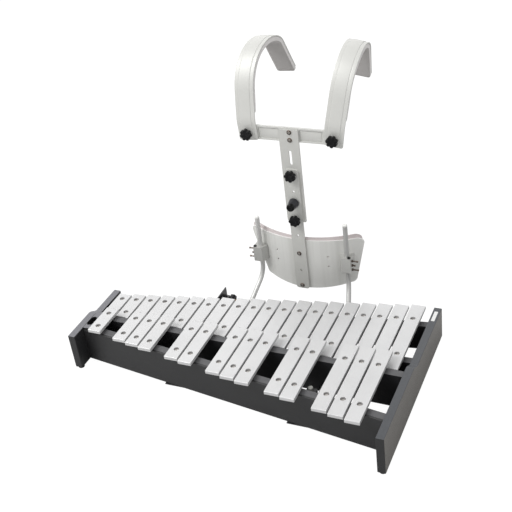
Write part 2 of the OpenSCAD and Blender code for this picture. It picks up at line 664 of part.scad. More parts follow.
// foam pad: rounded slab on the plate's rear face
module belly_pad() {
  na = 28; nz = 8;
  r_front = belly_r - belly_t - seat_gap;
  half = belly_w / 2 - 2;
  x1 = half - corner_top; x2 = half - corner_low;
  z_wide = belly_top_z - corner_top; z_narrow = belly_bot_z + sag + corner_low;
  // edges of the pad at distance x from the middle, before its sides are drawn in towards the bottom
  function pad_top(x) = belly_top_z + pad_over - (abs(x) > x1 ? corner_top - sqrt(max(0, corner_top * corner_top - pow(abs(x) - x1, 2))) : 0);
  function pad_low(x) = belly_bot_z + 4 + sag * pow(min(abs(x), x2) / x2, 2) + (abs(x) > x2 ? corner_low - sqrt(max(0, pow(corner_low, 2) - pow((abs(x) - x2) * 0.98, 2))) : 0);
  function drawn_in(x, z) = x * (1 - side_in(x) / half * min(1, max(0, (z_wide - z) / (z_wide - z_narrow))));
  // crown: the rear face is domed towards the edges of the pad
  function crown(u, v) = pad_t * (0.35 + 0.65 * pow(max(0, (1 - pow(abs(u), 6)) * (1 - pow(abs(v), 6))), 0.5));
  function pt(i, j, back) = let (u = 2 * i / na - 1, v = 2 * j / nz - 1, x = u * half, z = (pad_top(x) + pad_low(x)) / 2 + v * (pad_top(x) - pad_low(x)) / 2,
    r = r_front - (back ? crown(u, v) : 0), a = asin(drawn_in(x, z) / belly_r))
    [carrier_x + r * sin(a), belly_y + belly_r - r * cos(a), z];
  m = nz + 1; total = (na + 1) * m;
  pts = concat([for (i = [0:na], j = [0:nz]) pt(i, j, false)], [for (i = [0:na], j = [0:nz]) pt(i, j, true)]);
  function id(i, j, b) = b * total + i * m + j;
  faces = concat(
    [for (i = [0:na - 1], j = [0:nz - 1]) [id(i, j, 0), id(i, j + 1, 0), id(i + 1, j + 1, 0)]],
    [for (i = [0:na - 1], j = [0:nz - 1]) [id(i, j, 0), id(i + 1, j + 1, 0), id(i + 1, j, 0)]],
    [for (i = [0:na - 1], j = [0:nz - 1]) [id(i, j, 1), id(i + 1, j + 1, 1), id(i, j + 1, 1)]],
    [for (i = [0:na - 1], j = [0:nz - 1]) [id(i, j, 1), id(i + 1, j, 1), id(i + 1, j + 1, 1)]],
    [for (i = [0:na - 1]) [id(i, 0, 0), id(i + 1, 0, 0), id(i + 1, 0, 1)]],
    [for (i = [0:na - 1]) [id(i, 0, 0), id(i + 1, 0, 1), id(i, 0, 1)]],
    [for (i = [0:na - 1]) [id(i, nz, 0), id(i + 1, nz, 1), id(i + 1, nz, 0)]],
    [for (i = [0:na - 1]) [id(i, nz, 0), id(i, nz, 1), id(i + 1, nz, 1)]],
    [for (j = [0:nz - 1]) [id(0, j, 0), id(0, j + 1, 1), id(0, j + 1, 0)]],
    [for (j = [0:nz - 1]) [id(0, j, 0), id(0, j, 1), id(0, j + 1, 1)]],
    [for (j = [0:nz - 1]) [id(na, j, 0), id(na, j + 1, 0), id(na, j + 1, 1)]],
    [for (j = [0:nz - 1]) [id(na, j, 0), id(na, j + 1, 1), id(na, j, 1)]]);
  color([0.72, 0.68, 0.67]) polyhedron(pts, faces, convexity = 4);
}
// clamp block between a rod and the plate's front face
function plate_front(dx) = belly_y + belly_r - sqrt(belly_r * belly_r - dx * dx);
// how far a block stands out from its rod's middle, towards its outer side
function clamp_out(s) = clamp_w / 2 + (s < 0 ? 4.5 : 0);
wing_w = 9;                                // the inner side widens towards the plate
function wing_edge(s) = s < 0 ? 2.86673 : 1.04629; // thickness that is left at its tip
module clamp(s) {
  x = rod_x(s); y0 = rod_y - clamp_front; dx = rod_span / 2;
  t0 = -clamp_out(s); t1 = t0 + clamp_w; t2 = t1 + wing_w;
  color([0.8, 0.8, 0.78]) difference() {
    translate([x, 0, clamp_z]) linear_extrude(height = clamp_h)
      polygon(concat([[-s * t0, y0], [-s * t1, y0], [-s * t2, plate_front(dx - t2) - seat_gap - wing_edge(s)]],
        [for (k = [0:7]) let (t = t2 + (t0 - t2) * k / 7) [-s * t, plate_front(dx - t) - seat_gap]]));
    translate([x, rod_y, clamp_z - 1]) cylinder(r = rod_r + clamp_room, h = clamp_h + 2, $fn = 64);
    for (z = clamp_screw_z) translate([x, rod_y, clamp_z + z]) rotate([0, s * 90, 0]) cylinder(d = 3.6, h = 40);
    translate([x + s * (clamp_out(s) - 4), y0 + 4, clamp_z + clamp_h - 6]) cylinder(d = 4.4, h = 8);
  }
}
clamp_screw_z = [5, 17, 29];
module clamp_left() { clamp(-1); }
module clamp_right() { clamp(1); }
// long screws that stand out sideways, each with a nut on the clamp's outer face
screw_out = [17, 9, 16];
module clamp_screws() {
  color([0.5, 0.38, 0.32]) for (s = [-1, 1], k = [0:2]) let (reach = clamp_out(s) - rod_r - 0.3)
    translate([rod_x(s) + s * (rod_r + 0.3), rod_y, clamp_z + clamp_screw_z[k]]) rotate([0, s * 90, 0]) {
      cylinder(d = 3.4, h = reach + screw_out[k]);
      translate([0, 0, reach]) cylinder(d = 6.6, h = 3);
    }
}
module clamp_set_screws() {
  color([0.06, 0.06, 0.06]) for (s = [-1, 1])
    translate([rod_x(s) + s * (clamp_out(s) - 4), rod_y - clamp_front + 4, clamp_z + clamp_h]) screw(7.6, 2.6, 4, 5.9);
}

// spine
spine_screw_z = [belly_bot_z + 8, belly_top_z - 36];
spine_screw_x = spine_x - 1;
spare_z = [plunger_z + 28, belly_top_z + 14, belly_bot_z + 52];
module rounded_plate(w, z0, z1, t, y, r) {
  // plate in the XZ plane, front face at y, corners of radius r
  translate([spine_x, y + t, 0]) rotate([90, 0, 0]) linear_extrude(height = t)
    polygon(concat(arc(w / 2 - r, z1 - r, r, 0, 90, 6), arc(-w / 2 + r, z1 - r, r, 90, 180, 6),
      arc(-w / 2 + r, z0 + r, r, 180, 270, 6), arc(w / 2 - r, z0 + r, r, 270, 360, 6)));
}
module slot_cut(z0, z1, w) {
  for (z = [z0, z1]) at_front(spine_x, spine_y + 50, z) cylinder(d = w, h = 100);
  translate([spine_x - w / 2, spine_y - 50, z0]) cube([w, 100, z1 - z0]);
}
module lower_spine() {
  color([0.8, 0.8, 0.78]) difference() {
    rounded_plate(low_spine_w, low_spine_bot, low_spine_top, low_spine_t, spine_y - low_spine_t, 6);
    for (z = [knob_up_z, knob_low_z]) at_front(spine_x, spine_y + 5, z) cylinder(d = stud_d + 2 * stud_room, h = 20);
    at_front(spine_x, spine_y + 5, plunger_z) cylinder(d = 12.1, h = 20);
    for (z = spare_z) at_front(spine_x, spine_y + 5, z) cylinder(d = spare_d, h = 20);
    for (z = spine_screw_z) at_front(spine_screw_x, spine_y + 5, z) cylinder(d = 5.4, h = 20);
  }
}
module spine_screws() {
  color([0.7, 0.65, 0.6]) for (z = spine_screw_z) at_front(spine_screw_x, spine_y - low_spine_t, z) screw(11, 3, 5, low_spine_t + belly_t);
}
module upper_spine() {
  n_index = floor((slot_top - plunger_z - 14) / index_step);
  color([0.82, 0.82, 0.8]) difference() {
    rounded_plate(up_spine_w, up_spine_bot, bar_mid_z + bar_h / 2 - 3, up_spine_t, spine_y, 3);
    slot_cut(up_spine_bot - 20, slot_top - slot_w / 2, slot_w);
    slot_cut(short_slot[0] + slot_w / 2, short_slot[1] - slot_w / 2, slot_w);
    for (k = [-2:n_index]) at_front(spine_x, spine_y + 50, plunger_z + k * index_step) cylinder(d = index_d, h = 100);
    for (z = crossbar_screw_z) at_front(crossbar_screw_x, spine_y + 20, z) cylinder(d = 6.2, h = 30);
  }
}
crossbar_screw_z = [bar_mid_z - 11, bar_mid_z + 8];
crossbar_screw_x = spine_x + 2.5;
module crossbar() {
  x0 = carrier_x - bar_len / 2;
  color([0.82, 0.82, 0.8]) difference() {
    translate([x0, upper_back_y, bar_mid_z - bar_h / 2]) cube([bar_len, bar_thick, bar_h]);
    for (x = [[hook_x(-1) + hook_w / 2 + 2, spine_x - up_spine_w / 2 - 1], [spine_x + up_spine_w / 2 + 1, hook_x(1) - hook_w / 2 - 2]])
      translate([x[0], upper_back_y - 1, bar_mid_z - bar_h / 2 + bar_rim]) cube([x[1] - x[0], bar_sink + 1, bar_h - 2 * bar_rim]);
    for (s = [-1, 1]) at_front(hook_x(s), upper_back_y + 20, bolt_z) cylinder(d = stud_d + 2 * stud_room, h = 40);
    for (z = crossbar_screw_z) at_front(crossbar_screw_x, upper_back_y + 20, z) cylinder(d = 6.2, h = 40);
  }
}
module crossbar_screws() {
  color([0.45, 0.38, 0.34]) for (z = crossbar_screw_z) at_front(crossbar_screw_x, spine_y, z) screw(11, 3.2, 6, up_spine_t + bar_thick);
}
module spine_knob(z) {
  at_front(spine_x, spine_y - low_spine_t - knob_gap, z) star_knob(low_spine_t + up_spine_t + 2 * knob_gap + nut_t);
}
module spine_nuts() {
  color([0.7, 0.7, 0.7]) for (z = [knob_up_z, knob_low_z]) difference() {
    translate([spine_x - nut_w / 2, upper_back_y + knob_gap, z - nut_w / 2]) cube([nut_w, nut_t, nut_w]);
    at_front(spine_x, upper_back_y + nut_t + 1, z) cylinder(d = stud_d + 2 * stud_room, h = nut_t + 2);
  }
}
module spine_knob_upper() { spine_knob(knob_up_z); }
module spine_knob_lower() { spine_knob(knob_low_z); }
// spring plunger: sleeve pressed in the lower spine, pull knob with its pin
sleeve_out = 2;
pin_d = 8;
nose_d = slot_w - 0.6;                     // slides in the upper spine's slot
module plunger_sleeve() {
  color([0.2, 0.2, 0.2]) at_front(spine_x, spine_y - 0.1, plunger_z) difference() {
    union() { cylinder(d = 12, h = low_spine_t); translate([0, 0, low_spine_t - 0.1]) cylinder(d = 17, h = sleeve_out); }
    translate([0, 0, -1]) cylinder(d = pin_d + 0.1, h = 30);
  }
}
module pull_knob() {
  color([0.07, 0.07, 0.08]) at_front(spine_x, spine_y - low_spine_t - sleeve_out - knob_gap, plunger_z) {
    cylinder(d = pull_base_d, h = 3);
    translate([0, 0, 3]) cylinder(d1 = pull_base_d, d2 = pull_tip_d, h = pull_len - 5);
    translate([0, 0, pull_len - 2]) cylinder(d1 = pull_tip_d, d2 = pull_tip_d - 4, h = 2);
    translate([0, 0, -low_spine_t - sleeve_out]) cylinder(d = pin_d, h = low_spine_t + sleeve_out + 0.5);
    translate([0, 0, -low_spine_t - sleeve_out - knob_gap - up_spine_t + 0.6]) cylinder(d = nose_d, h = up_spine_t + 1);
  }
}

// shoulder hooks
// outer line of a hook, [back, up, heading] from its bolt; heading 0 is up, 90 is back
crown_b = (crown_r1 - crown_r0) / (crown_turn * PI / 180);
function crown_r(f) = crown_r0 + (crown_r1 - crown_r0) * f;
function crown_u(f) = let (h = rise_slope + crown_turn * f) -crown_r(f) * cos(h) + crown_b * sin(h);
function crown_w(f) = let (h = rise_slope + crown_turn * f) crown_r(f) * sin(h) + crown_b * cos(h);
crown_n = 30;
function rise_at(l) = [l * sin(rise_slope), foot_above + l * cos(rise_slope), rise_slope];
hook_start = [rise_len * sin(rise_slope), foot_above + rise_len * cos(rise_slope)];
tail_dir = rise_slope + crown_turn;
hook_line = concat(
  [[0, -foot_below, 0], [0, foot_above - 4, 0], rise_at(4)], [rise_at(pad_start - foot_above)],
  [for (k = [0:crown_n]) let (f = k / crown_n)
    [hook_start[0] + crown_u(f) - crown_u(0), hook_start[1] + crown_w(f) - crown_w(0), rise_slope + crown_turn * f]],
  [let (u = hook_start[0] + crown_u(1) - crown_u(0), w = hook_start[1] + crown_w(1) - crown_w(0))
    [u + tail_len * sin(tail_dir), w + tail_len * cos(tail_dir), tail_dir]]);
// point at sideways x and depth d under the outer line, station i, with the toe-in
function hook_pt(i, x, d, toe) = let (q = hook_line[i]) [x + toe * q[0], q[0] + d * cos(q[2]), q[1] - d * sin(q[2])];
band_cap = [[0, 1, 7], [1, 4, 7], [4, 6, 7], [4, 5, 6], [1, 2, 3], [1, 3, 4]];
module hook_body(toe) {
  n = len(hook_line);
  h = hook_w / 2; b = band_w / 2;
  ring = [[-h, 0], [-b - 1, 0], [-b, -band_h], [b, -band_h], [b + 1, 0], [h, 0], [h, hook_t], [-h, hook_t]];
  pts = [for (i = [0:n - 1], r = ring) hook_pt(i, r[0], r[1], toe)];
  difference() {
    polyhedron(pts, capped_faces(n, len(ring), band_cap), convexity = 6);
    rotate([90, 0, 0]) translate([0, 0, -20]) cylinder(d = stud_d + 2 * stud_room, h = 40);
  }
}
// foam pad under a hook: a flat slab with rounded long edges and a tapered front end
pad_front_t = 9;
module pad_body(toe) {
  n = len(hook_line);
  h = hook_pad_w / 2; t0 = hook_t + seat_gap;
  function thick(i) = i < 9 ? pad_front_t + (hook_pad_t - pad_front_t) * (i - 3) / 6 : hook_pad_t;
  function ring(i) = let (t = t0 + thick(i), c = 3) [[-h, t0], [h, t0], [h, t - c], [h - 0.9, t - 0.9], [h - c, t], [-h + c, t], [-h + 0.9, t - 0.9], [-h, t - c]];
  pts = [for (i = [3:n - 1], r = ring(i)) let (p = hook_pt(i, r[0], r[1], toe))
    i == n - 1 ? p + pad_past * [0, sin(tail_dir), cos(tail_dir)] : p];
  polyhedron(pts, sweep_faces(n - 3, 8), convexity = 6);
}
function hook_lean(s) = s < 0 ? -left_lean : right_lean;
module hook_place(s) translate([hook_x(s), hook_front_y, bolt_z]) rotate([0, hook_lean(s), 0]) children();
module hook_left() { color([0.88, 0.88, 0.87]) hook_place(-1) hook_body(left_toe); }
module hook_right() { color([0.88, 0.88, 0.87]) hook_place(1) hook_body(-right_toe); }
module hook_pad_left() { color([0.62, 0.58, 0.56]) hook_place(-1) pad_body(left_toe); }
module hook_pad_right() { color([0.62, 0.58, 0.56]) hook_place(1) pad_body(-right_toe); }
module hook_knob(s) { at_front(hook_x(s), hook_front_y - band_h - knob_gap, bolt_z) star_knob(band_h + knob_gap + hook_t + bar_thick); }
module hook_knob_left() { hook_knob(-1); }
module hook_knob_right() { hook_knob(1); }

// origin: middle of the floor area that the whole object covers
hook_back = max([for (i = [0:len(hook_line) - 1], d = [-band_h, 0, hook_t]) hook_pt(i, 0, d, 0)[1]]);
mid_x = (left_out + right_out) / 2;
mid_y = (hook_front_y + hook_back - right_front_y) / 2;
module place() translate([-mid_x, -mid_y, 0]) children();

place() left_end_plate();
place() right_end_plate();
place() front_rail();
place() front_board();
place() raised_row_rail();
place() natural_row_rail();
place() rear_rail();
place() hand_board();
place() rubber_feet();
place() blank_strip();
place() natural_group(0);  // natural_bars_1
place() natural_group(1);  // natural_bars_2
place() natural_group(2);  // natural_bars_3
place() natural_group(3);  // natural_bars_4
place() natural_group(4);  // natural_bars_5
place() natural_group(5);  // natural_bars_6
place() raised_group(0);  // raised_bars_1
place() raised_group(1);  // raised_bars_2
place() raised_group(2);  // raised_bars_3
place() raised_group(3);  // raised_bars_4
place() raised_group(4);  // raised_bars_5
place() raised_group(5);  // raised_bars_6
place() bar_spacers();
place() post_screws();
place() rod_left();
place() rod_right();
place() rod_caps();
place() saddle_left();
place() saddle_right();
place() saddle_screws();
place() saddle_knob_left();
place() saddle_knob_right();
place() lyre_arm();
place() lyre_screws();
place() lyre_socket();
place() lyre_knob();
place() lyre_stud();
place() belly_plate();
place() belly_pad();
place() clamp_left();
place() clamp_right();
place() clamp_screws();
place() clamp_set_screws();
place() lower_spine();
place() spine_screws();
place() plunger_sleeve();
place() pull_knob();
place() upper_spine();
place() crossbar();
place() crossbar_screws();
place() spine_knob_upper();
place() spine_knob_lower();
place() spine_nuts();
place() hook_left();
place() hook_right();
place() hook_pad_left();
place() hook_pad_right();
place() hook_knob_left();
place() hook_knob_right();
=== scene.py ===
import json
import math

import bmesh
import bpy
import numpy as np
from mathutils import Matrix

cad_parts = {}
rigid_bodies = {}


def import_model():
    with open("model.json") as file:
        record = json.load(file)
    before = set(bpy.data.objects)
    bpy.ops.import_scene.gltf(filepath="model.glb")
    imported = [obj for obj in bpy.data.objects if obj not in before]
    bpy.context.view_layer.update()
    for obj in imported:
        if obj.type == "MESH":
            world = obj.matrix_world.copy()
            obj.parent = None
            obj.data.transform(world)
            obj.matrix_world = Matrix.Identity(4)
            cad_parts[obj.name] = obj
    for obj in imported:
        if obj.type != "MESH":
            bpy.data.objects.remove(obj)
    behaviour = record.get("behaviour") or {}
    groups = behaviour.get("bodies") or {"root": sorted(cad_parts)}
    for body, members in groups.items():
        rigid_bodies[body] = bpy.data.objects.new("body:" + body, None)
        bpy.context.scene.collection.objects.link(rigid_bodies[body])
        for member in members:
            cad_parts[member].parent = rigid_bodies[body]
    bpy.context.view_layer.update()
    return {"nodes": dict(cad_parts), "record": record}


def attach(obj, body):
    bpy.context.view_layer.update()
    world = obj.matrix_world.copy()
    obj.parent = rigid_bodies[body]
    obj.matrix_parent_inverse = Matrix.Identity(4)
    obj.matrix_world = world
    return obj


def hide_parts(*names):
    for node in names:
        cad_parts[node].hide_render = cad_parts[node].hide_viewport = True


for item in list(bpy.data.objects):
    bpy.data.objects.remove(item)

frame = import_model()
nodes = frame["nodes"]
slotOf = {part["node"]: part["material_slot"] for part in frame["record"]["subparts"]}
bodyOf = {node: body for body, members in frame["record"]["behaviour"]["bodies"].items() for node in members}
print("frame loaded:", len(nodes), "nodes")

# middle of the floor area, in the millimetres that the pieces below are written in
middle = np.array([7.0, 103.66557, 0.0])
sideName = {-1: "left", 1: "right"}
carrier = dict(x=54.5, spineX=52.0, spineY=257.0, spineT=4.0, hookX=55.5, hookSpan=205.0, hookFrontY=257.7,
               boltZ=467.0)


# meshes

def toRow(points):
    # millimetres from the keyboard's middle -> metres in the shared frame
    return (np.asarray(points, float) - middle) / 1000.0


def facing(points, place, front):
    # a piece made along +Z is laid along -Y (front) or along +X, then put in its place
    x, y, z = points[..., 0], points[..., 1], points[..., 2]
    turned = np.stack([x, -z, y], -1) if front else np.stack([z, y, -x], -1)
    return turned + np.asarray(place, float)


def gridFaces(nu, nv, wrapU):
    # each grid cell (i, j) is one quad to its neighbours; the second way always closes, the first one when wrapped
    i, j = np.meshgrid(np.arange(nu if wrapU else nu - 1), np.arange(nv), indexing="ij")
    k, m = (i + 1) % nu, (j + 1) % nv
    return np.stack([i * nv + j, k * nv + j, k * nv + m, i * nv + m], -1).reshape(-1, 4)


def gridMesh(name, points, wrapU=False):
    # points[u, v] in mm become quads
    mesh = bpy.data.meshes.new(name)
    faces = gridFaces(points.shape[0], points.shape[1], wrapU)
    mesh.from_pydata(toRow(points).reshape(-1, 3).tolist(), [], faces.tolist())
    return mesh


def weld(mesh):
    # lines that meet are merged and the faces turned outwards
    work = bmesh.new()
    work.from_mesh(mesh)
    bmesh.ops.remove_doubles(work, verts=work.verts, dist=2e-7)
    bmesh.ops.recalc_face_normals(work, faces=work.faces)
    work.to_mesh(mesh)
    work.free()


def addObject(name, data):
    item = bpy.data.objects.new(name, data)
    bpy.context.scene.collection.objects.link(item)
    return item


def dress(name, mesh, node=None, body=None, slot=None, look=None):
    # a piece on its body, in its slot's finish or a look of its own, and in place of the CAD node when one is named
    piece = addObject(name, mesh)
    slot = slot or slotOf[node]
    mesh.materials.clear()
    mesh.materials.append(materials[look or (node if node in variants else slot)])
    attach(piece, body or bodyOf[node])
    if node:
        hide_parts(node)
    return piece


def skin(name, points, node=None, sharp=38, body=None, slot=None, look=None, tint=None):
    # a closed surface through points[u, v]; tint[u, v] is a second colour and its share
    mesh = gridMesh(name, points)
    if tint is not None:
        layer = mesh.attributes.new("painted_light", "FLOAT_COLOR", "POINT")
        layer.data.foreach_set("color", tint.astype(np.float32).reshape(-1))
    weld(mesh)
    mesh.shade_smooth()
    mesh.set_sharp_from_angle(angle=math.radians(sharp))
    return dress(name, mesh, node, body, slot, look)


def applyModifiers(piece):
    bpy.context.view_layer.update()
    made = bpy.data.meshes.new_from_object(piece.evaluated_get(bpy.context.evaluated_depsgraph_get()))
    piece.modifiers.clear()
    piece.data = made
    made.shade_smooth()
    made.set_sharp_from_angle(angle=math.radians(45))


def subtract(piece, points, wrapU):
    # the grid is closed, turned outwards and taken away from the piece
    tool = gridMesh("cutter", points, wrapU)
    weld(tool)
    cutter = addObject("cutter", tool)
    cut = piece.modifiers.new("cut", "BOOLEAN")
    cut.object, cut.operation, cut.solver = cutter, "DIFFERENCE", "EXACT"
    applyModifiers(piece)
    bpy.data.objects.remove(cutter)


# crossbar: a groove runs round inside each sunk panel
groove = dict(width=1.5, depth=0.8, over=0.7, low=455.0, high=481.0, face=262.6, panels=((-22.0, 27.5), (76.5, 130.0)))


def cutPanels(piece):
    # four corners around, and at each a square cross-section between the outer and the inner rectangle
    w, low, high = groove["width"], groove["low"], groove["high"]
    front, deep = groove["face"] - groove["over"], groove["face"] + groove["depth"]
    for x0, x1 in groove["panels"]:
        outer = np.array([(x0, low), (x1, low), (x1, high), (x0, high)])
        inner = outer + np.array([(w, w), (-w, w), (-w, -w), (w, -w)])
        section = [(outer, front), (outer, deep), (inner, deep), (inner, front)]
        subtract(piece, np.stack([np.insert(corners, 1, y, 1) for corners, y in section], 1), True)


# painted light: the way that a face looks (axis, sign) and the colour painted there; the lighter tops are painted
# sheen
painted_light = dict(
    left_end_plate={(2, 1): (0.165, 0.165, 0.18)},
    # the right plate's top takes less painted sheen, and its lighter outer side is a painted reflection
    right_end_plate={(2, 1): (0.062, 0.066, 0.073), (0, 1): (0.14, 0.132, 0.122)},
    front_rail={(2, 1): (0.1, 0.1, 0.104)},
    raised_row_rail={(2, 1): (0.1, 0.1, 0.104)},
    natural_row_rail={(2, 1): (0.08, 0.08, 0.084)},
    rear_rail={(2, 1): (0.08, 0.08, 0.084)},
    hand_board={(2, 1): (0.165, 0.165, 0.18)},
    # the belly plate's top edge is a painted highlight
    belly_plate={(2, 1): (0.9, 0.9, 0.89)})
paintedLightLimit = 0.64


def markPaintedLight(mesh, node):
    # one colour a face: where its normal is within 50 degrees of the way (cosine over the limit) the painted light
    # colour with full alpha, elsewhere none
    if node not in painted_light:
        return
    normals = np.empty(len(mesh.polygons) * 3, np.float32)
    mesh.polygons.foreach_get("normal", normals)
    normals = normals.reshape(-1, 3)
    colors = np.zeros((len(normals), 4), np.float32)
    for (axis, sign), tone in painted_light[node].items():
        colors[normals[:, axis] * sign > paintedLightLimit] = (*tone, 1)
    mesh.attributes.new("painted_light", "FLOAT_COLOR", "FACE").data.foreach_set("color", colors.reshape(-1))


# angles in degrees: faces flatter than flat are joined, edges over sharp stay sharp, edges over limit are bevelled
breaking = dict(weld=2e-6, flat=0.4, sharp=30, limit=40, segments=2)


def roundedCopy(node, width):
    # the CAD solid again with its edges broken: welded, flat areas joined, then bevelled
    mesh = nodes[node].data.copy()
    work = bmesh.new()
    work.from_mesh(mesh)
    bmesh.ops.remove_doubles(work, verts=work.verts, dist=breaking["weld"])
    bmesh.ops.dissolve_limit(work, angle_limit=math.radians(breaking["flat"]), verts=work.verts, edges=work.edges)
    work.to_mesh(mesh)
    work.free()
    mesh.shade_smooth()
    mesh.set_sharp_from_angle(angle=math.radians(breaking["sharp"]))
    markPaintedLight(mesh, node)
    piece = dress(node + "_rounded", mesh, node)
    if node == "crossbar":
        cutPanels(piece)
    edge = piece.modifiers.new("edges", "BEVEL")
    edge.width, edge.segments = width / 1000.0, breaking["segments"]
    edge.limit_method, edge.angle_limit = "ANGLE", math.radians(breaking["limit"])
    edge.harden_normals = True


def ringAround(sides):
    # cosines and sines of even steps around a circle
    turn = np.arange(sides) * 2 * np.pi / sides
    return np.cos(turn), np.sin(turn)


def lathe(profile, sides):
    # profile rows (radius, height) turned about +Z
    rows = np.asarray(profile, float)
    cosines, sines = ringAround(sides)
    return np.stack([rows[:, :1] * cosines, rows[:, :1] * sines, np.broadcast_to(rows[:, 1:], (len(rows), sides))], -1)


def closeEnds(points):
    # the first and the last ring are filled by a fan to their middle
    middleOf = points.mean(1, keepdims=True)
    first, last = (np.broadcast_to(row, points[:1].shape) for row in (middleOf[:1], middleOf[-1:]))
    return np.concatenate([first, points, last])


def smoothCorners(corners, radii, steps=4):
    # closed outline whose corners are parabolas: each starts and ends its radius away from the corner
    corners = np.asarray(corners, float)
    before, after = np.roll(corners, 1, 0), np.roll(corners, -1, 0)
    radii = np.asarray(radii, float)[:, None]
    a = corners + radii * (before - corners) / np.linalg.norm(before - corners, axis=1, keepdims=True)
    b = corners + radii * (after - corners) / np.linalg.norm(after - corners, axis=1, keepdims=True)
    t = np.linspace(0, 1, steps + 1)[None, :, None]
    line = (1 - t) ** 2 * a[:, None] + 2 * t * (1 - t) * corners[:, None] + t ** 2 * b[:, None]
    return line.reshape(-1, 2)


# materials

def nodeGroup(name, inputs, outputs):
    group = bpy.data.node_groups.new(name, "ShaderNodeTree")
    for label, kind, value in inputs:
        socket = group.interface.new_socket(name=label, in_out="INPUT", socket_type="NodeSocket" + kind)
        socket.default_value = value
    for label, kind in outputs:
        group.interface.new_socket(name=label, in_out="OUTPUT", socket_type="NodeSocket" + kind)
    return group, group.nodes.new("NodeGroupInput"), group.nodes.new("NodeGroupOutput")


def feed(tree, value, socket):
    # a number is set on the socket itself, anything else is linked to it
    if isinstance(value, (int, float)):
        socket.default_value = value
    else:
        tree.links.new(value, socket)


def mathNode(tree, kind, a, b):
    step = tree.nodes.new("ShaderNodeMath")
    step.operation = kind
    feed(tree, a, step.inputs[0])
    feed(tree, b, step.inputs[1])
    return step.outputs[0]


def swing(tree, value, share, scale):
    # (value - 0.5) * share * scale
    return mathNode(tree, "MULTIPLY", mathNode(tree, "SUBTRACT", value, 0.5), mathNode(tree, "MULTIPLY", share, scale))


def clampNode(tree, value):
    clear = tree.nodes.new("ShaderNodeClamp")
    tree.links.new(value, clear.inputs[0])
    return clear.outputs[0]


def noiseNode(tree, vector, scale, detail=3.0, rough=0.55):
    noise = tree.nodes.new("ShaderNodeTexNoise")
    noise.inputs["Detail"].default_value = detail
    noise.inputs["Roughness"].default_value = rough
    feed(tree, scale, noise.inputs["Scale"])
    tree.links.new(vector, noise.inputs["Vector"])
    return noise.outputs["Fac"]


def mixNode(tree, factor, a, b):
    # sockets 6 and 7 are the two colours; b is a socket or a plain colour
    mix = tree.nodes.new("ShaderNodeMix")
    mix.data_type = "RGBA"
    tree.links.new(factor, mix.inputs[0])
    tree.links.new(a, mix.inputs[6])
    if isinstance(b, tuple):
        mix.inputs[7].default_value = (*b, 1)
    else:
        tree.links.new(b, mix.inputs[7])
    return mix.outputs[2]


def makeTone():
    # slow changes of tone and gloss with a fine grain: both noises blend the colours, the fine one is also the height
    inputs = [("Vector", "Vector", (0, 0, 0)), ("Color", "Color", (0.5, 0.5, 0.5, 1)),
              ("Other Color", "Color", (0.4, 0.4, 0.4, 1)), ("Spread", "Float", 0.5), ("Patch Scale", "Float", 12.0),
              ("Roughness", "Float", 0.5), ("Roughness Spread", "Float", 0.1), ("Grain Scale", "Float", 900.0),
              ("Grain Tone", "Float", 0.1)]
    outputs = [("Color", "Color"), ("Roughness", "Float"), ("Height", "Float")]
    group, start, end = nodeGroup("tone", inputs, outputs)
    given = start.outputs
    patch = noiseNode(group, given["Vector"], given["Patch Scale"])
    grain = noiseNode(group, given["Vector"], given["Grain Scale"], 2.0, 0.6)
    slow = swing(group, patch, given["Spread"], 3.0)
    fine = swing(group, grain, given["Grain Tone"], 3.0)
    half = mathNode(group, "MULTIPLY", given["Spread"], 0.5)
    blend = clampNode(group, mathNode(group, "ADD", mathNode(group, "ADD", slow, fine), half))
    group.links.new(mixNode(group, blend, given["Color"], given["Other Color"]), end.inputs["Color"])
    gloss = swing(group, patch, given["Roughness Spread"], 2.0)
    group.links.new(mathNode(group, "ADD", gloss, given["Roughness"]), end.inputs["Roughness"])
    group.links.new(grain, end.inputs["Height"])
    return group


def makeBrushed():
    # lines along one way: a noise on coordinates that are stretched by Stretch
    inputs = [("Vector", "Vector", (0, 0, 0)), ("Stretch", "Vector", (1400, 30, 1400)), ("Depth", "Float", 0.5)]
    group, start, end = nodeGroup("brushed", inputs, [("Lines", "Float")])
    scaled = group.nodes.new("ShaderNodeVectorMath")
    scaled.operation = "MULTIPLY"
    group.links.new(start.outputs["Vector"], scaled.inputs[0])
    group.links.new(start.outputs["Stretch"], scaled.inputs[1])
    lines = noiseNode(group, scaled.outputs[0], 1.0, 2.0, 0.7)
    group.links.new(mathNode(group, "MULTIPLY", lines, start.outputs["Depth"]), end.inputs["Lines"])
    return group


def makeScuffsAndGlints():
    # sparse marks: where a ragged noise passes a limit, in patches of a slower one; on the knobs they are painted
    # glints
    inputs = [("Vector", "Vector", (0, 0, 0)), ("Scale", "Float", 60.0), ("Limit", "Float", 0.66),
              ("Amount", "Float", 0.5)]
    group, start, end = nodeGroup("scuffsAndGlints", inputs, [("Mask", "Float")])
    scratch = noiseNode(group, start.outputs["Vector"], start.outputs["Scale"], 6.0, 0.75)
    patch = noiseNode(group, start.outputs["Vector"], 9.0, 1.0)
    marked = mathNode(group, "GREATER_THAN", scratch, start.outputs["Limit"])
    both = mathNode(group, "MULTIPLY", marked, mathNode(group, "GREATER_THAN", patch, 0.5))
    group.links.new(mathNode(group, "MULTIPLY", both, start.outputs["Amount"]), end.inputs["Mask"])
    return group


groups = dict(tone=makeTone(), brushed=makeBrushed(), scuffsAndGlints=makeScuffsAndGlints())


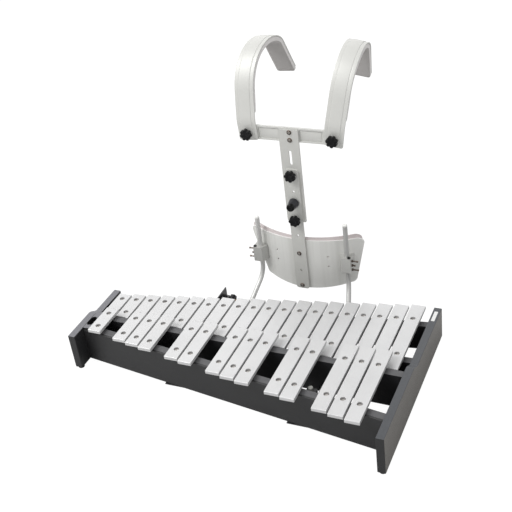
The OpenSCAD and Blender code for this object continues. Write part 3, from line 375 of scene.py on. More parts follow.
def finish(name, look):
    # one Principled material: tone group for colour, gloss and grain, then brushed lines, bands, scuffs (painted
    # glints on the knobs) and painted light where the look asks for them
    material = bpy.data.materials.new(name)
    material.use_nodes = True
    tree = material.node_tree
    shader = tree.nodes["Principled BSDF"]
    coords = tree.nodes.new("ShaderNodeTexCoord").outputs["Object"]

    def place(kind, **values):
        node = tree.nodes.new("ShaderNodeGroup")
        node.node_tree = groups[kind]
        tree.links.new(coords, node.inputs["Vector"])
        for label, value in values.items():
            node.inputs[label.replace("_", " ")].default_value = value
        return node.outputs

    tone = place("tone", Color=(*look["color"], 1), Other_Color=(*look["other"], 1), Spread=look.get("spread", 0.4),
                 Patch_Scale=look.get("patch", 14.0), Roughness=look["rough"],
                 Roughness_Spread=look.get("roughSpread", 0.06), Grain_Scale=look.get("grain", 900.0),
                 Grain_Tone=look.get("grainTone", 0.1))
    color, height = tone["Color"], tone["Height"]
    if "brush" in look:
        lines = place("brushed", Stretch=look["brush"], Depth=look["brushDepth"])["Lines"]
        height = mathNode(tree, "ADD", lines, mathNode(tree, "MULTIPLY", height, 0.3))
    if "streak" in look:
        # bands: where the stretched noise is over 0.45 the dark colour comes in
        streaks = place("brushed", Stretch=look["streak"], Depth=1.0)["Lines"]
        bands = mathNode(tree, "MULTIPLY", mathNode(tree, "SUBTRACT", streaks, 0.45), 5.0 * look["streakAmount"])
        color = mixNode(tree, clampNode(tree, bands), color, look["streakDark"])
    if "scuffAndGlint" in look:
        mask = place("scuffsAndGlints", Scale=look["scuffAndGlintScale"], Limit=look.get("scuffAndGlintLimit", 0.64),
                     Amount=look["scuffAndGlintAmount"])["Mask"]
        color = mixNode(tree, mask, color, look["scuffAndGlint"])
    if "paintedLightSpread" in look:
        # the mesh says where light is painted and in which colour, and the grain breaks it up
        paintedLightNode = tree.nodes.new("ShaderNodeAttribute")
        paintedLightNode.attribute_name = "painted_light"
        spread = look["paintedLightSpread"]
        broken = mathNode(tree, "ADD", mathNode(tree, "MULTIPLY", height, spread), 1 - spread / 2)
        share = mathNode(tree, "MULTIPLY", paintedLightNode.outputs["Alpha"], broken)
        color = mixNode(tree, share, color, paintedLightNode.outputs["Color"])
    tree.links.new(color, shader.inputs["Base Color"])
    tree.links.new(tone["Roughness"], shader.inputs["Roughness"])
    bump = tree.nodes.new("ShaderNodeBump")
    bump.inputs["Strength"].default_value = look.get("bump", 0.15)
    bump.inputs["Distance"].default_value = look.get("bumpDepth", 0.0003)
    tree.links.new(height, bump.inputs["Height"])
    tree.links.new(bump.outputs["Normal"], shader.inputs["Normal"])
    shader.inputs["Metallic"].default_value = look.get("metal", 0.0)
    shader.inputs["Specular IOR Level"].default_value = look.get("specular", 0.5)
    shader.inputs["Coat Weight"].default_value = look.get("coat", 0.0)
    shader.inputs["Coat Roughness"].default_value = 0.1
    shader.inputs["Sheen Weight"].default_value = look.get("sheen", 0.0)
    return material


finishes = dict(
    end_plate_black=dict(
        color=(0.014, 0.014, 0.015), other=(0.026, 0.0262, 0.028), rough=0.45, grain=1500.0, grainTone=0.3, bump=0.5,
        specular=0.42, scuffAndGlint=(0.16, 0.16, 0.17), scuffAndGlintScale=220.0, scuffAndGlintLimit=0.67, scuffAndGlintAmount=0.35, paintedLightSpread=0.5),
    rail_black=dict(
        color=(0.018, 0.018, 0.02), other=(0.03, 0.03, 0.033), rough=0.5, brush=(40.0, 900.0, 900.0), brushDepth=0.6,
        bump=0.25, specular=0.35, paintedLightSpread=0.5),
    board_black=dict(
        color=(0.014, 0.014, 0.015), other=(0.022, 0.022, 0.023), rough=0.45, grain=1200.0, bump=0.25, specular=0.5),
    foot_rubber=dict(color=(0.012, 0.012, 0.012), other=(0.02, 0.02, 0.02), rough=0.75, bump=0.3),
    strip_white=dict(color=(0.74, 0.74, 0.73), other=(0.66, 0.66, 0.66), rough=0.4),
    bar_metal=dict(
        color=(0.62, 0.62, 0.622), other=(0.54, 0.54, 0.542), rough=0.46, roughSpread=0.05, metal=0.35, grain=600.0,
        grainTone=0.35, brush=(90.0, 1600.0, 900.0), brushDepth=0.6, bump=0.08, patch=9.0, spread=0.5),
    spacer_rubber=dict(color=(0.11, 0.07, 0.05), other=(0.07, 0.045, 0.035), rough=0.7, bump=0.2),
    post_steel=dict(
        color=(0.6, 0.585, 0.56), other=(0.4, 0.39, 0.37), rough=0.3, metal=0.95, patch=120.0, spread=0.8),
    rod_metal=dict(
        color=(0.6, 0.6, 0.585), other=(0.5, 0.5, 0.49), rough=0.42, metal=0.35, brush=(1200.0, 1200.0, 60.0),
        brushDepth=0.5, bump=0.1),
    cap_white=dict(color=(0.78, 0.78, 0.76), other=(0.7, 0.7, 0.68), rough=0.4),
    bracket_black=dict(
        color=(0.02, 0.02, 0.022), other=(0.035, 0.035, 0.037), rough=0.36, grain=1500.0, bump=0.3,
        scuffAndGlint=(0.12, 0.12, 0.12), scuffAndGlintScale=180.0, scuffAndGlintAmount=0.3),
    screw_black=dict(color=(0.02, 0.02, 0.02), other=(0.04, 0.04, 0.04), rough=0.35, metal=0.6),
    # on the star knobs the light marks are painted glints on the lobes
    knob_black=dict(
        color=(0.003, 0.003, 0.0035), other=(0.008, 0.008, 0.009), rough=0.28, grain=2200.0, grainTone=0.3, bump=0.35,
        specular=0.16, scuffAndGlint=(0.11, 0.11, 0.11), scuffAndGlintScale=420.0, scuffAndGlintLimit=0.6, scuffAndGlintAmount=0.6),
    pull_knob_gloss=dict(
        color=(0.002, 0.002, 0.002), other=(0.004, 0.004, 0.004), rough=0.12, specular=0.12, coat=0.05, bump=0.02),
    stud_brass=dict(color=(0.42, 0.26, 0.13), other=(0.3, 0.19, 0.1), rough=0.35, metal=0.9),
    carrier_white=dict(
        color=(0.61, 0.61, 0.585), other=(0.55, 0.55, 0.525), rough=0.46, metal=0.15, grain=1800.0, grainTone=0.12,
        bump=0.22, patch=8.0, spread=0.4, scuffAndGlint=(0.45, 0.45, 0.43), scuffAndGlintScale=240.0, scuffAndGlintLimit=0.69,
        scuffAndGlintAmount=0.35),
    screw_bronze=dict(
        color=(0.13, 0.1, 0.083), other=(0.06, 0.048, 0.04), rough=0.32, metal=0.8, patch=90.0, spread=0.7),
    pad_foam=dict(
        color=(0.74, 0.72, 0.71), other=(0.68, 0.66, 0.65), rough=0.92, grain=1100.0, grainTone=0.5, bump=0.7,
        bumpDepth=0.0006, specular=0.25, sheen=0.25, paintedLightSpread=0.1),
)
materials = {slot: finish(slot, look) for slot, look in finishes.items()}
# pieces of a slot whose own surface differs, by node, and looks that a single piece asks for; some are darker or
# lighter copies of a finish as painted shade and reflection
variants = dict(
    belly_plate=dict(
        finishes["carrier_white"], color=(0.76, 0.76, 0.735), other=(0.66, 0.66, 0.635), streak=(36.0, 36.0, 1.0),
        streakDark=(0.54, 0.54, 0.51), streakAmount=0.45, spread=0.5, patch=5.0, paintedLightSpread=0.1),
    clamp_left=dict(
        finishes["carrier_white"], color=(0.52, 0.52, 0.5), other=(0.42, 0.42, 0.4), brush=(900.0, 900.0, 60.0),
        brushDepth=0.6, metal=0.3),
    screw_dome=dict(
        finishes["post_steel"], color=(0.36, 0.34, 0.32), other=(0.16, 0.15, 0.14), rough=0.34, metal=0.9,
        patch=260.0, spread=0.9),
    upper_spine=dict(finishes["carrier_white"], color=(0.57, 0.57, 0.545), other=(0.5, 0.5, 0.475)),
    # the right rod: the left rod's metal made darker as painted shade
    rod_right=dict(finishes["rod_metal"], color=(0.46, 0.46, 0.45), other=(0.4, 0.4, 0.39)),
    capPaintedShade=dict(finishes["cap_white"], color=(0.3, 0.3, 0.28), other=(0.2, 0.2, 0.19)),
    knobSkirtPaintedReflection=dict(finishes["knob_black"], color=(0.03, 0.03, 0.034), other=(0.045, 0.045, 0.05)),
    belly_pad=dict(finishes["pad_foam"], color=(0.64, 0.58, 0.575), other=(0.56, 0.5, 0.495)))
variants["clamp_right"] = variants["clamp_left"]
variants["lower_spine"] = variants["upper_spine"]
# the belly pad's mesh carries no painted light colours
del variants["belly_pad"]["paintedLightSpread"]
materials.update({name: finish(name + "_finish", look) for name, look in variants.items()})
for node, piece in nodes.items():
    piece.data.materials.clear()
    piece.data.materials.append(materials[slotOf[node]])
print("materials made:", len(materials))

# width of the broken edges, in mm, so that they catch the light
edgeWidths = dict(
    left_end_plate=1.4, right_end_plate=1.4, front_rail=0.8, front_board=0.6, raised_row_rail=0.8,
    natural_row_rail=0.8, rear_rail=0.8, belly_plate=0.7, hand_board=0.8, clamp_left=0.9, clamp_right=0.9,
    lower_spine=0.6, upper_spine=0.6, crossbar=0.6, saddle_left=0.4, saddle_right=0.4, lyre_arm=0.5, lyre_socket=0.8,
    spine_nuts=0.5, rubber_feet=0.5, **{f"{row}_bars_{k}": 0.6 for row in ("natural", "raised") for k in range(1, 7)})
for node, width in edgeWidths.items():
    roundedCopy(node, width)
print("edges rounded:", len(edgeWidths))

# carrier rods: one round bar along a bent path, with a pressed cap on each end
rods = dict(radius=5.72, span=223.0, y=268.0, bendZ=79.0, runZ=15.0, splay=46.0, endZ=85.0, dropY=197.0, dropOut=18.0,
            straightFrom=28.0, reach=(26, 34, 22), capHeight=4.0, capOver=0.03,
            top={-1: 235.0, 1: 241.0}, endY={-1: -79.0557681, 1: -122.5576714})

# star knobs: seven round lobes, a collar below and a shallow dish on top
star = dict(across=28.0, collar=5.0, head=12.0, lobes=7, lobeShare=0.155, stud=6.0, steps=126)


def starRadius(turn, phase):
    # distance of the lobed outline from its middle: each lobe is a circle set out from the middle, and the valleys
    # are smoothed by a weighted mean over five neighbours
    lobe = star["across"] * star["lobeShare"]
    out = star["across"] / 2 - lobe
    step = 2 * np.pi / star["lobes"]
    local = (turn - phase + step / 2) % step - step / 2
    radius = out * np.cos(local) + np.sqrt(np.maximum(lobe ** 2 - (out * np.sin(local)) ** 2, 0))
    return (np.roll(radius, 2) + np.roll(radius, 1) + 2 * radius + np.roll(radius, -1) + np.roll(radius, -2)) / 6


def starKnob(name, node, place, front, phase, stud):
    # rows of (share of lobed outline, round radius, height): radius = share * lobes + round part
    base, top = star["collar"], star["collar"] + star["head"] - 1
    collar = [(0, 0, 0), (0, 6.4, 0), (0, 7, 0.6), (0, 7, base - 0.7), (0, 7.4, base - 0.2)]
    lobes = [(0.55, 3.9, base + 0.05), (0.86, 1.0, base + 0.1), (0.96, 0, base + 0.5), (0.995, 0, base + 1.4),
             (1, 0, base + 3), (1, 0, top - 3.2), (0.99, 0, top - 1.8), (0.955, 0, top - 0.8), (0.9, 0, top - 0.25)]
    dish = [(0.83, 0, top), (0.7, 1.2, top + 0.15), (0.3, 4.6, top + 0.7), (0, 6.8, top + 0.9), (0, 6.3, top + 0.75),
            (0, 5.4, top + 0.1), (0, 4.9, top - 0.05), (0, 0, top)]
    rows = np.array(collar + lobes + dish)
    turn = np.linspace(0, 2 * np.pi, star["steps"], endpoint=False)
    radius = rows[:, :1] * starRadius(turn, math.radians(phase)) + rows[:, 1:2]
    height = np.broadcast_to(rows[:, 2:], radius.shape)
    points = np.stack([radius * np.cos(turn), radius * np.sin(turn), height], -1)
    skin(name, facing(points, place, front), node, sharp=50)
    r = star["stud"] / 2
    shank = lathe([(0, -stud), (r - 0.5, -stud), (r, 0.5 - stud), (r, 0.2), (0, 0.2)], 32)
    skin(name + "_stud", facing(shank, place, front), body=bodyOf[node], slot="post_steel")


def boltPlace(side, y):
    return carrier["hookX"] + side * carrier["hookSpan"] / 2, y, carrier["boltZ"]


knobGap = 0.3
spineFront = carrier["spineY"] - carrier["spineT"]
hookFace = carrier["hookFrontY"] - 0.9 - knobGap
saddle = dict(x={-1: -103.0, 1: 212.0}, knobOut=11.3, knobZ=64.0)
lyre = (-112.0, 168.3447, 53.0)
# name, node, place, whether it faces the front, turn of the first lobe in degrees, length of the stud
knobs = (
    ("upper_spine_knob", "spine_knob_upper", (carrier["spineX"], spineFront - knobGap, 372.0), True, 20, 13.6),
    ("lower_spine_knob", "spine_knob_lower", (carrier["spineX"], spineFront - knobGap, 254.0), True, -78, 13.6),
    ("left_hook_knob", "hook_knob_left", boltPlace(-1, hookFace), True, -64, 10.2),
    ("right_hook_knob", "hook_knob_right", boltPlace(1, hookFace), True, -90, 10.2),
    ("left_saddle_knob", "saddle_knob_left",
     (saddle["x"][-1] + saddle["knobOut"], rods["endY"][-1], saddle["knobZ"]), False, 12, 4.4),
    ("right_saddle_knob", "saddle_knob_right",
     (saddle["x"][1] + saddle["knobOut"], rods["endY"][1], saddle["knobZ"]), False, -18, 4.4),
    ("lyre_star_knob", "lyre_knob", (lyre[0] + knobGap, lyre[1], lyre[2]), False, 0, 2.5))
for knob in knobs:
    starKnob(*knob)
print("star knobs made")

# pull knob: smooth round cap on a tapered skirt, with the plunger's pin and nose behind
pull = dict(base=25.0, tip=19.0, length=28.0, cap=8.5, z=299.0, sleeve=2.0, pin=8.0, pinBack=6.0, nose=6.2,
            noseBack=9.7)


def pullKnob():
    # profiles of radius and height turned about the pin
    rb, rt, h, split = pull["base"] / 2, pull["tip"] / 2, pull["length"], pull["length"] - pull["cap"]
    nose, pin, back = pull["nose"] / 2, pull["pin"] / 2, pull["noseBack"]
    place = (carrier["spineX"], spineFront - pull["sleeve"] - knobGap, pull["z"])
    skirt = [(0, -back), (nose - 0.4, -back), (nose, 0.5 - back), (nose, -pull["pinBack"]), (pin, -pull["pinBack"]),
             (pin, 0), (rb - 1, 0), (rb - 0.2, 0.4), (rb, 1.3), (rb - 0.1, 2.8), (rb - 0.5, 4.4), (rb - 1.6, 9.0),
             (rt + 0.35, split - 0.9), (rt - 0.2, split - 0.1), (rt - 0.5, split), (0, split)]
    cap = [(0, split), (rt - 0.6, split), (rt - 0.1, split + 0.3), (rt + 0.1, split + 1.3), (rt, h - 3.2),
           (rt - 0.4, h - 1.8), (rt - 1.2, h - 0.7), (rt - 2.4, h - 0.1), (rt - 3.4, h), (rt - 4.4, h - 0.4),
           (rt - 5.6, h - 1.3), (1.2, h - 1.6), (0, h - 1.6)]
    # the skirt's grey, lighter than the glossy black cap, is a painted reflection on the same black plastic
    skin("pull_knob_turned", facing(lathe(skirt, 64), place, True), "pull_knob", slot="knob_black", look="knobSkirtPaintedReflection",
         sharp=34)
    skin("pull_knob_cap", facing(lathe(cap, 64), place, True), body=bodyOf["pull_knob"], slot="pull_knob_gloss",
         sharp=34)


pullKnob()

# carrier screws: a bronze ring with a darker domed head in it, and long clamp screws with nuts
screws = dict(ring=5.5, head=3.4, spineX=carrier["spineX"] - 1, crossbarX=carrier["spineX"] + 2.5,
              clampFrom=6.05, clampZ=(121.0, 133.0, 145.0), clampOut={-1: 15.5, 1: 11.0}, reach=(17.0, 9.0, 16.0))


def carrierScrew(name, node, place, length, first):
    # two profiles turned about the screw's axis: ring and shank, then the dome with its socket
    r, h = screws["ring"], screws["head"]
    ring = [(0, -length), (2.4, -length), (2.4, 0), (r - 0.3, 0), (r, 0.4), (r, 1.1), (r - 0.4, 1.8), (h + 0.6, 2.3),
            (h + 0.2, 2.2), (h + 0.1, 1.2), (0, 1.2)]
    dome = [(0, 1.1), (h, 1.1), (h, 1.9), (h - 0.3, 2.6), (h - 1.1, 3.1), (h - 1.7, 3.2), (h - 1.8, 2.2), (0, 2.0)]
    piece = skin(name + "_ring", facing(lathe(ring, 40), place, True), body=bodyOf[node], slot="screw_bronze")
    if first:
        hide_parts(node)
    skin(name + "_head", facing(lathe(dome, 32), place, True), body=bodyOf[node], slot="post_steel",
         look="screw_dome")


for name, z, first in (("low", 66.0, True), ("high", 158.0, False)):
    carrierScrew(f"spine_screw_{name}", "spine_screws", (screws["spineX"], spineFront, z), 7.0, first)
for name, z, first in (("low", 457.0, True), ("high", 476.0, False)):
    carrierScrew(f"crossbar_screw_{name}", "crossbar_screws", (screws["crossbarX"], carrier["spineY"], z), 10.0, first)


def clampScrew(name, side, k, first):
    # profile along the screw from inside the clamp: shank, nut on the outer face, thread and rounded end
    nut = screws["clampOut"][side] - screws["clampFrom"]
    end = nut + screws["reach"][k]
    profile = [(0, 0), (1.7, 0), (1.7, nut), (3.0, nut), (3.3, nut + 0.3), (3.3, nut + 2.6), (2.9, nut + 3),
               (1.7, nut + 3), (1.6, end - 4.2), (2.1, end - 3.8), (2.2, end - 0.8), (1.6, end - 0.1), (0, end)]
    x, y, z = np.moveaxis(lathe(profile, 24), -1, 0)
    place = (carrier["x"] + side * (rods["span"] / 2 + screws["clampFrom"]), rods["y"], screws["clampZ"][k])
    piece = skin(name, np.stack([side * z, y, x], -1) + np.asarray(place), body="belly", slot="screw_bronze")
    if first:
        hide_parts("clamp_screws")


for side in (-1, 1):
    for k in range(3):
        clampScrew(f"{sideName[side]}_clamp_screw_{k + 1}", side, k, side < 0 and k == 0)
print("carrier screws made")


def bend(a, b, c, reach, steps=14):
    # a parabola that leaves the line a-b and joins the line b-c, each reach away from the corner b
    p, q = b + reach * (a - b) / np.linalg.norm(a - b), b + reach * (c - b) / np.linalg.norm(c - b)
    t = np.linspace(0, 1, steps)[:, None]
    return (1 - t) ** 2 * p + 2 * t * (1 - t) * b + t ** 2 * q


def tube(path, radius, sides=32):
    # rings square to the path: at each point the side way is the X axis with its part along the path taken out
    along = np.gradient(path, axis=0)
    along /= np.linalg.norm(along, axis=1, keepdims=True)
    side = np.array([1.0, 0, 0]) - along[:, :1] * along
    side /= np.linalg.norm(side, axis=1, keepdims=True)
    other = np.cross(along, side)
    cosines, sines = ringAround(sides)
    return path[:, None] + radius * (cosines[None, :, None] * side[:, None] + sines[None, :, None] * other[:, None])


def makeRod(side):
    # down, slanted forward, level under the frame and up to the front end; returns the caps of top and front end
    x = carrier["x"] + side * rods["span"] / 2
    endX, endY = x + side * rods["splay"], rods["endY"][side]
    top = np.array([x, rods["y"], rods["top"][side]])
    knee = np.array([x, rods["y"], rods["bendZ"]])
    drop = np.array([x + side * rods["dropOut"], rods["dropY"], rods["runZ"]])
    turn, end = np.array([endX, endY, rods["runZ"]]), np.array([endX, endY, rods["endZ"]])
    upright = top + np.linspace(0, 1, 8)[:, None] * (knee + [0, 0, rods["straightFrom"]] - top)
    first, second, third = rods["reach"]
    bends = [bend(top, knee, drop, first), bend(knee, drop, turn, second), bend(drop, turn, end, third)]
    path = np.concatenate([upright, *bends, end[None]])
    skin(f"{sideName[side]}_rod", closeEnds(tube(path, rods["radius"])), f"rod_{sideName[side]}", sharp=60)
    h, r = rods["capHeight"], rods["radius"] + rods["capOver"]
    cap = lathe([(0, 0), (r, 0), (r, h - 1.6), (r - 0.35, h - 0.8), (r - 1.0, h - 0.3), (r - 2.2, h), (0, h)], 36)
    return cap + top, cap + end


caps = [cap for side in (-1, 1) for cap in makeRod(side)]
for k, cap in enumerate(caps):
    # the caps of the front ends take a darker copy of the cap colour as painted shade
    look = "capPaintedShade" if k % 2 else None
    piece = skin(f"rod_cap_{k + 1}", cap, body="glockenspiel", slot="cap_white", look=look)
    if k == 0:
        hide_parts("rod_caps")
print("rods made")

# shoulder hooks: a flat strap with a raised band, carried along straight foot, rise, tightening crown and tail
hook = dict(
    width=46.0, thick=3.0, band=26.0, bandHeight=0.9, groove=0.2, grooveIn=1.1, grooveOut=2.2, hole=3.3, endRound=4.0,
    below=18.0, above=30.0, bendRoom=4.0, rise=66.5, slope=11.0, crownStart=131.0, crownEnd=22.0, turn=146.0,
    tail=84.0, lean={-1: -3.5, 1: 9.0}, toe={-1: 0.2, 1: -0.01}, seat=0.3, padWidth=45.0, padFront=9.0, padThick=11.0,
    padStart=43.0, padPast=5.0, padGrow=105.0, padRound=7.0, paintedUnderShade=(0.43, 0.415, 0.405))


def hookLine(fromPad):
    # rows of back, up and heading in radians; along the crown the radius shrinks evenly with the turn
    slope, turn = math.radians(hook["slope"]), math.radians(hook["turn"])
    shrink = hook["crownEnd"] - hook["crownStart"]
    drop = shrink / turn

    def crown(f):
        r, h = hook["crownStart"] + shrink * f, slope + turn * f
        return np.stack([-r * np.cos(h) + drop * np.sin(h), r * np.sin(h) + drop * np.cos(h), h], -1)

    def rise(l):
        return np.stack([l * math.sin(slope), hook["above"] + l * math.cos(slope), np.full_like(l, slope)], -1)

    start = rise(np.array([hook["rise"]]))[0]
    arch = crown(np.linspace(0, 1, 72))
    arch[:, :2] += start[:2] - arch[0, :2]
    last = arch[-1]
    tailSteps = np.linspace(0, hook["tail"], 14)[1:, None]
    ahead = [math.sin(last[2]), math.cos(last[2])]
    tail = np.concatenate([last[:2] + tailSteps * ahead, np.full_like(tailSteps, last[2])], 1)
    if fromPad:
        front = rise(np.linspace(hook["padStart"] - hook["above"], hook["rise"], 8)[:-1])
    else:
        room = hook["bendRoom"]
        foot = np.stack([np.zeros(6), np.linspace(-hook["below"], hook["above"] - room, 6), np.zeros(6)], -1)
        front = np.concatenate([foot, rise(np.linspace(room, hook["rise"], 10)[:-1])])
    return np.concatenate([front, arch, tail])


def hookPoints(line, x, depth, side):
    # a point sideways x and depth under the outer line, with the toe-in, leaned and moved to its bolt
    back, up, head = (line[:, k, None] for k in range(3))
    px = x + hook["toe"][side] * back
    py = back + depth * np.cos(head)
    pz = up - depth * np.sin(head)
    lean = math.radians(hook["lean"][side])
    turned = np.stack([px * math.cos(lean) + pz * math.sin(lean), py, -px * math.sin(lean) + pz * math.cos(lean)], -1)
    return turned + np.array(boltPlace(side, carrier["hookFrontY"]))


def lengthAlong(line):
    return np.concatenate([[0], np.cumsum(np.linalg.norm(np.diff(line[:, :2], axis=0), axis=1))])


def roundEnds(run, reach):
    # 0 at both ends, 1 further than reach from them, a quarter circle in between
    near = np.clip(np.minimum(run, run[-1] - run) / reach, 0, 1)
    return np.sqrt(1 - (1 - near) ** 2)


def insertEnds(line, reach):
    # extra stations close to both ends, so that their rounding is smooth
    share = np.array([0.04, 0.12, 0.25, 0.45, 0.7, 1.0])[:, None] * reach
    first = line[0] + share * (line[1] - line[0]) / np.linalg.norm((line[1] - line[0])[:2])
    last = line[-1] + share[::-1] * (line[-2] - line[-1]) / np.linalg.norm((line[-2] - line[-1])[:2])
    return np.concatenate([line[:1], first, line[1:-1], last, line[-1:]])


def makeStrap(side):
    # one outline carried along the line: two shallow grooves run beside the raised band, and the ends are rounded
    soft = hook["endRound"]
    line = insertEnds(hookLine(False), soft)
    half, band, t = hook["width"] / 2, hook["band"] / 2, hook["thick"]
    outer, inner, deep, high = band + hook["grooveOut"], band + hook["grooveIn"], hook["groove"], -hook["bandHeight"]
    corners = [(-half, 0), (-outer, 0), (-inner, deep), (-band, high), (band, high), (inner, deep), (outer, 0),
               (half, 0), (half, t), (-half, t)]
    ring = smoothCorners(corners, [0.9, 0.2, 0.2, 0.4, 0.4, 0.2, 0.2, 0.9, 0.9, 0.9])
    narrow = (half - soft + soft * roundEnds(lengthAlong(line), soft)) / half
    depth = np.broadcast_to(ring[None, :, 1], (len(line), len(ring)))
    points = hookPoints(line, ring[None, :, 0] * narrow[:, None], depth, side)
    strap = skin(f"{sideName[side]}_strap", closeEnds(points), f"hook_{sideName[side]}", sharp=50)
    drill = lathe([(0, -20), (hook["hole"], -20), (hook["hole"], 20), (0, 20)], 40)
    subtract(strap, facing(drill, boltPlace(side, carrier["hookFrontY"]), True), False)


def makeHookPad(side):
    # foam strip under the strap: it thickens from its front end over the first part of its length, both ends are
    # round, and slow waves make it uneven
    line = hookLine(True)
    line[-1, :2] += hook["padPast"] * np.array([math.sin(line[-1, 2]), math.cos(line[-1, 2])])
    soft = hook["padRound"]
    line = insertEnds(line, soft)
    run = lengthAlong(line)
    ends = roundEnds(run, soft)
    grown = hook["padFront"] + (hook["padThick"] - hook["padFront"]) * np.clip(run / hook["padGrow"], 0, 1)
    half = hook["padWidth"] / 2
    # the outline is written in shares of half the width and of the thickness
    corners = smoothCorners([(-1, 0), (1, 0), (1, 1), (-1, 1)], [0.08, 0.08, 0.3, 0.3], 7)
    sideways = corners[None, :, 0] * (half - soft + soft * ends[:, None]) + 0.5 * np.sin(run[:, None] / 23 + side)
    sideways = np.clip(sideways, -half, half)
    dent = 1 - 0.05 * (1 + np.sin(run / 17 + 2 * side)) * 0.5
    full = (grown * dent * (0.35 + 0.65 * ends))[:, None]
    depth = hook["thick"] + hook["seat"] + corners[None, :, 1] * full
    closed = closeEnds(hookPoints(line, sideways, depth, side))
    # the cut sides show pale foam and the face against the shoulder, turned down, takes a darker tone as painted
    # shade:
    # the share is 1 on the outline's lower half within its sides
    rows, columns = len(closed), len(corners)
    under = (np.abs(corners[:, 0]) < 0.985) & (corners[:, 1] > 0.5)
    paintedShadeShare = np.broadcast_to(under.astype(float), (rows, columns))[..., None]
    paintedUnderShade = np.broadcast_to(np.array(hook["paintedUnderShade"]), (rows, columns, 3))
    pad = skin(f"{sideName[side]}_hook_foam", closed, f"hook_pad_{sideName[side]}", sharp=70,
               tint=np.concatenate([paintedUnderShade, paintedShadeShare], 2))


for side in (-1, 1):
    makeStrap(side)
    makeHookPad(side)
print("hooks made")

# belly pad: curved foam slab behind the belly plate
belly = dict(
    radius=250.0, thick=3.0, y=257.0, width=288.0, top=194.0, low=58.0, sag=15.0, cornerTop=16.0, cornerLow=12.0,
    sideIn={-1: 40.0, 1: 18.0}, pad=11.0, over=12.0, overMid=7.0, inset=2.0, lift=4.0, seat=0.3)


def makeBellyPad():
    # grid over the width and the height; the rear face is domed, the four sides are rounded over
    na, nz = 61, 23
    half, topR, lowR = belly["width"] / 2 - belly["inset"], belly["cornerTop"], belly["cornerLow"]
    reach = np.pi / 2 * 0.98
    u = np.sin(np.linspace(-reach, reach, na)) / np.sin(reach)
    x = (half * u)[:, None]
    pastTop, pastLow = np.maximum(np.abs(x) - (half - topR), 0), np.maximum(np.abs(x) - (half - lowR), 0) * 0.98
    over = belly["overMid"] + (belly["over"] - belly["overMid"]) * (x / half) ** 2
    top = belly["top"] + over - (topR - np.sqrt(np.maximum(topR ** 2 - pastTop ** 2, 0)))
    sag = belly["sag"] * np.minimum(np.abs(x), half - lowR) ** 2 / (half - lowR) ** 2
    low = belly["low"] + belly["lift"] + sag + (lowR - np.sqrt(np.maximum(lowR ** 2 - pastLow ** 2, 0)))
    # around: front face low to high, then rear face high to low
    v = np.sin(np.linspace(-np.pi / 2, np.pi / 2, nz))
    around = np.concatenate([v, v[::-1]])[None]
    rear = np.concatenate([np.zeros(nz), np.ones(nz)])[None]
    edge = (1 - np.abs(u[:, None]) ** 8) * (1 - np.abs(around) ** 8)
    crowned = np.sqrt(np.maximum(edge, 0))
    dome = belly["pad"] * (0.2 + 0.8 * crowned)
    wave = 0.35 * np.sin(x / 19.0) * np.cos(around * 4.0)
    inset = 1 - 0.012 * rear * (1 - crowned)
    z = (top + low) / 2 + around * (top - low) / 2 * inset
    r = belly["radius"] - belly["thick"] - belly["seat"] - rear * (dome - 0.4 + wave * (edge > 0.2))
    # the sides are drawn in evenly from the top corners down to the bottom ones
    wide, narrow = belly["top"] - topR, belly["low"] + belly["sag"] + lowR
    drawn = np.where(x < 0, belly["sideIn"][-1], belly["sideIn"][1]) / half
    x = x * (1 - drawn * np.clip((wide - z) / (wide - narrow), 0, 1))
    a = np.arcsin(x * inset / belly["radius"])
    points = np.stack([carrier["x"] + r * np.sin(a), belly["y"] + belly["radius"] - r * np.cos(a), z], -1)
    pad = skin("belly_foam", closeEnds(points), "belly_pad", sharp=75)


makeBellyPad()
print("pads made")

# floor, light and camera; lamps are name, place, width in metres and power in watts
stage = dict(world=0.66, floorColor=(0.62, 0.62, 0.62), wash=0.86, washStrength=1.14, aim=(0, 0, 0.2), lamps=(
    ("key", (-1.8, -1.6, 3.3), 2.2, 98.0),
    ("fill", (2.6, -0.8, 2.4), 2.5, 10.0),
    ("back", (-1.3, 2.6, 1.9), 3.0, 16.0)))


def mixShaders(tree, share, first, second, output):
    mix = tree.nodes.new("ShaderNodeMixShader")
    tree.links.new(share, mix.inputs[0])
    tree.links.new(first.outputs[0], mix.inputs[1])
    tree.links.new(second.outputs[0], mix.inputs[2])
    tree.links.new(mix.outputs[0], tree.nodes[output].inputs["Surface"])


def makeFloor():
    mesh = bpy.data.meshes.new("floor")
    mesh.from_pydata([(-14, -8, 0), (14, -8, 0), (14, 20, 0), (-14, 20, 0)], [], [(0, 1, 2, 3)])
    floor = addObject("floor", mesh)
    material = bpy.data.materials.new("floor")
    material.use_nodes = True
    tree = material.node_tree
    shader = tree.nodes["Principled BSDF"]
    shader.inputs["Base Color"].default_value = (*stage["floorColor"], 1)
    shader.inputs["Roughness"].default_value = 0.9
    shader.inputs["Specular IOR Level"].default_value = 0.1
    # the camera sees it washed out to white, with a faint shadow left
    white = tree.nodes.new("ShaderNodeEmission")
    white.inputs["Strength"].default_value = stage["washStrength"]
    seen = mathNode(tree, "MULTIPLY", tree.nodes.new("ShaderNodeLightPath").outputs["Is Camera Ray"], stage["wash"])
    mixShaders(tree, seen, shader, white, "Material Output")
    mesh.materials.append(material)


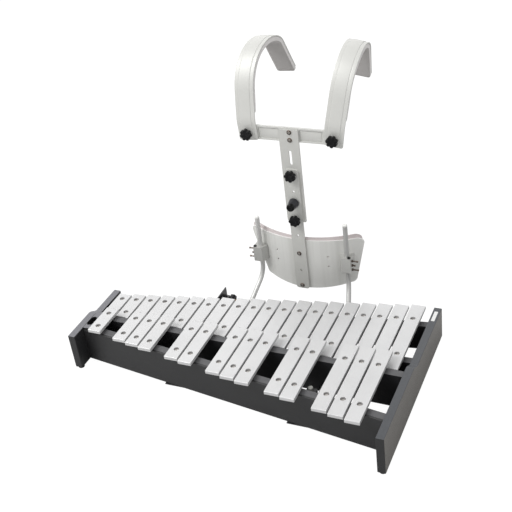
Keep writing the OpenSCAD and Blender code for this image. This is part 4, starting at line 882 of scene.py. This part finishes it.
def makeWorld():
    # plain even light; camera, transmission and glossy rays see it as white
    world = bpy.data.worlds.new("studio")
    bpy.context.scene.world = world
    world.use_nodes = True
    tree = world.node_tree
    plain, seen = tree.nodes["Background"], tree.nodes.new("ShaderNodeBackground")
    for background, strength in ((plain, stage["world"]), (seen, 1.0)):
        background.inputs["Color"].default_value = (1, 1, 1, 1)
        background.inputs["Strength"].default_value = strength
    rays = tree.nodes.new("ShaderNodeLightPath").outputs
    straight = mathNode(tree, "MAXIMUM", rays["Is Camera Ray"], rays["Is Transmission Ray"])
    mixShaders(tree, mathNode(tree, "MAXIMUM", straight, rays["Is Glossy Ray"]), plain, seen, "World Output")


def stand(item, right, up, back, place):
    # the three axes and the place are the columns of the matrix
    rows = np.stack([right, up, back, place], 1).tolist()
    item.matrix_world = Matrix(rows + [[0, 0, 0, 1]])


def makeLamp(name, place, size, power):
    lamp = bpy.data.lights.new(name, "AREA")
    lamp.shape, lamp.size, lamp.energy = "DISK", size, power
    back = np.array(place, float) - np.array(stage["aim"], float)
    back /= np.linalg.norm(back)
    side = np.cross([0, 0, 1], back)
    side /= np.linalg.norm(side)
    stand(addObject(name, lamp), side, np.cross(back, side), back, place)


def makeCamera():
    # turn, height angle and roll in degrees; the lens comes from a focal length in pixels, the eye is in metres
    view = dict(turn=27.134, height=32.469, roll=-7.606, lens=955.424 / 512 * 36, eye=(0.8307, -1.613166, 1.3930))
    a, e, r = (math.radians(view[k]) for k in ("turn", "height", "roll"))
    back = np.array([math.sin(a) * math.cos(e), -math.cos(a) * math.cos(e), math.sin(e)])
    right = np.array([math.cos(a), math.sin(a), 0])
    up = np.cross(back, right)
    lens = bpy.data.cameras.new("photo view")
    lens.lens, lens.sensor_width, lens.clip_start = view["lens"], 36, 0.05
    camera = addObject("photo view", lens)
    stand(camera, math.cos(r) * right + math.sin(r) * up, -math.sin(r) * right + math.cos(r) * up, back, view["eye"])
    bpy.context.scene.camera = camera


makeFloor()
makeWorld()
for lamp in stage["lamps"]:
    makeLamp(*lamp)
makeCamera()
bpy.context.scene.view_settings.view_transform = "Standard"
print("stage made")
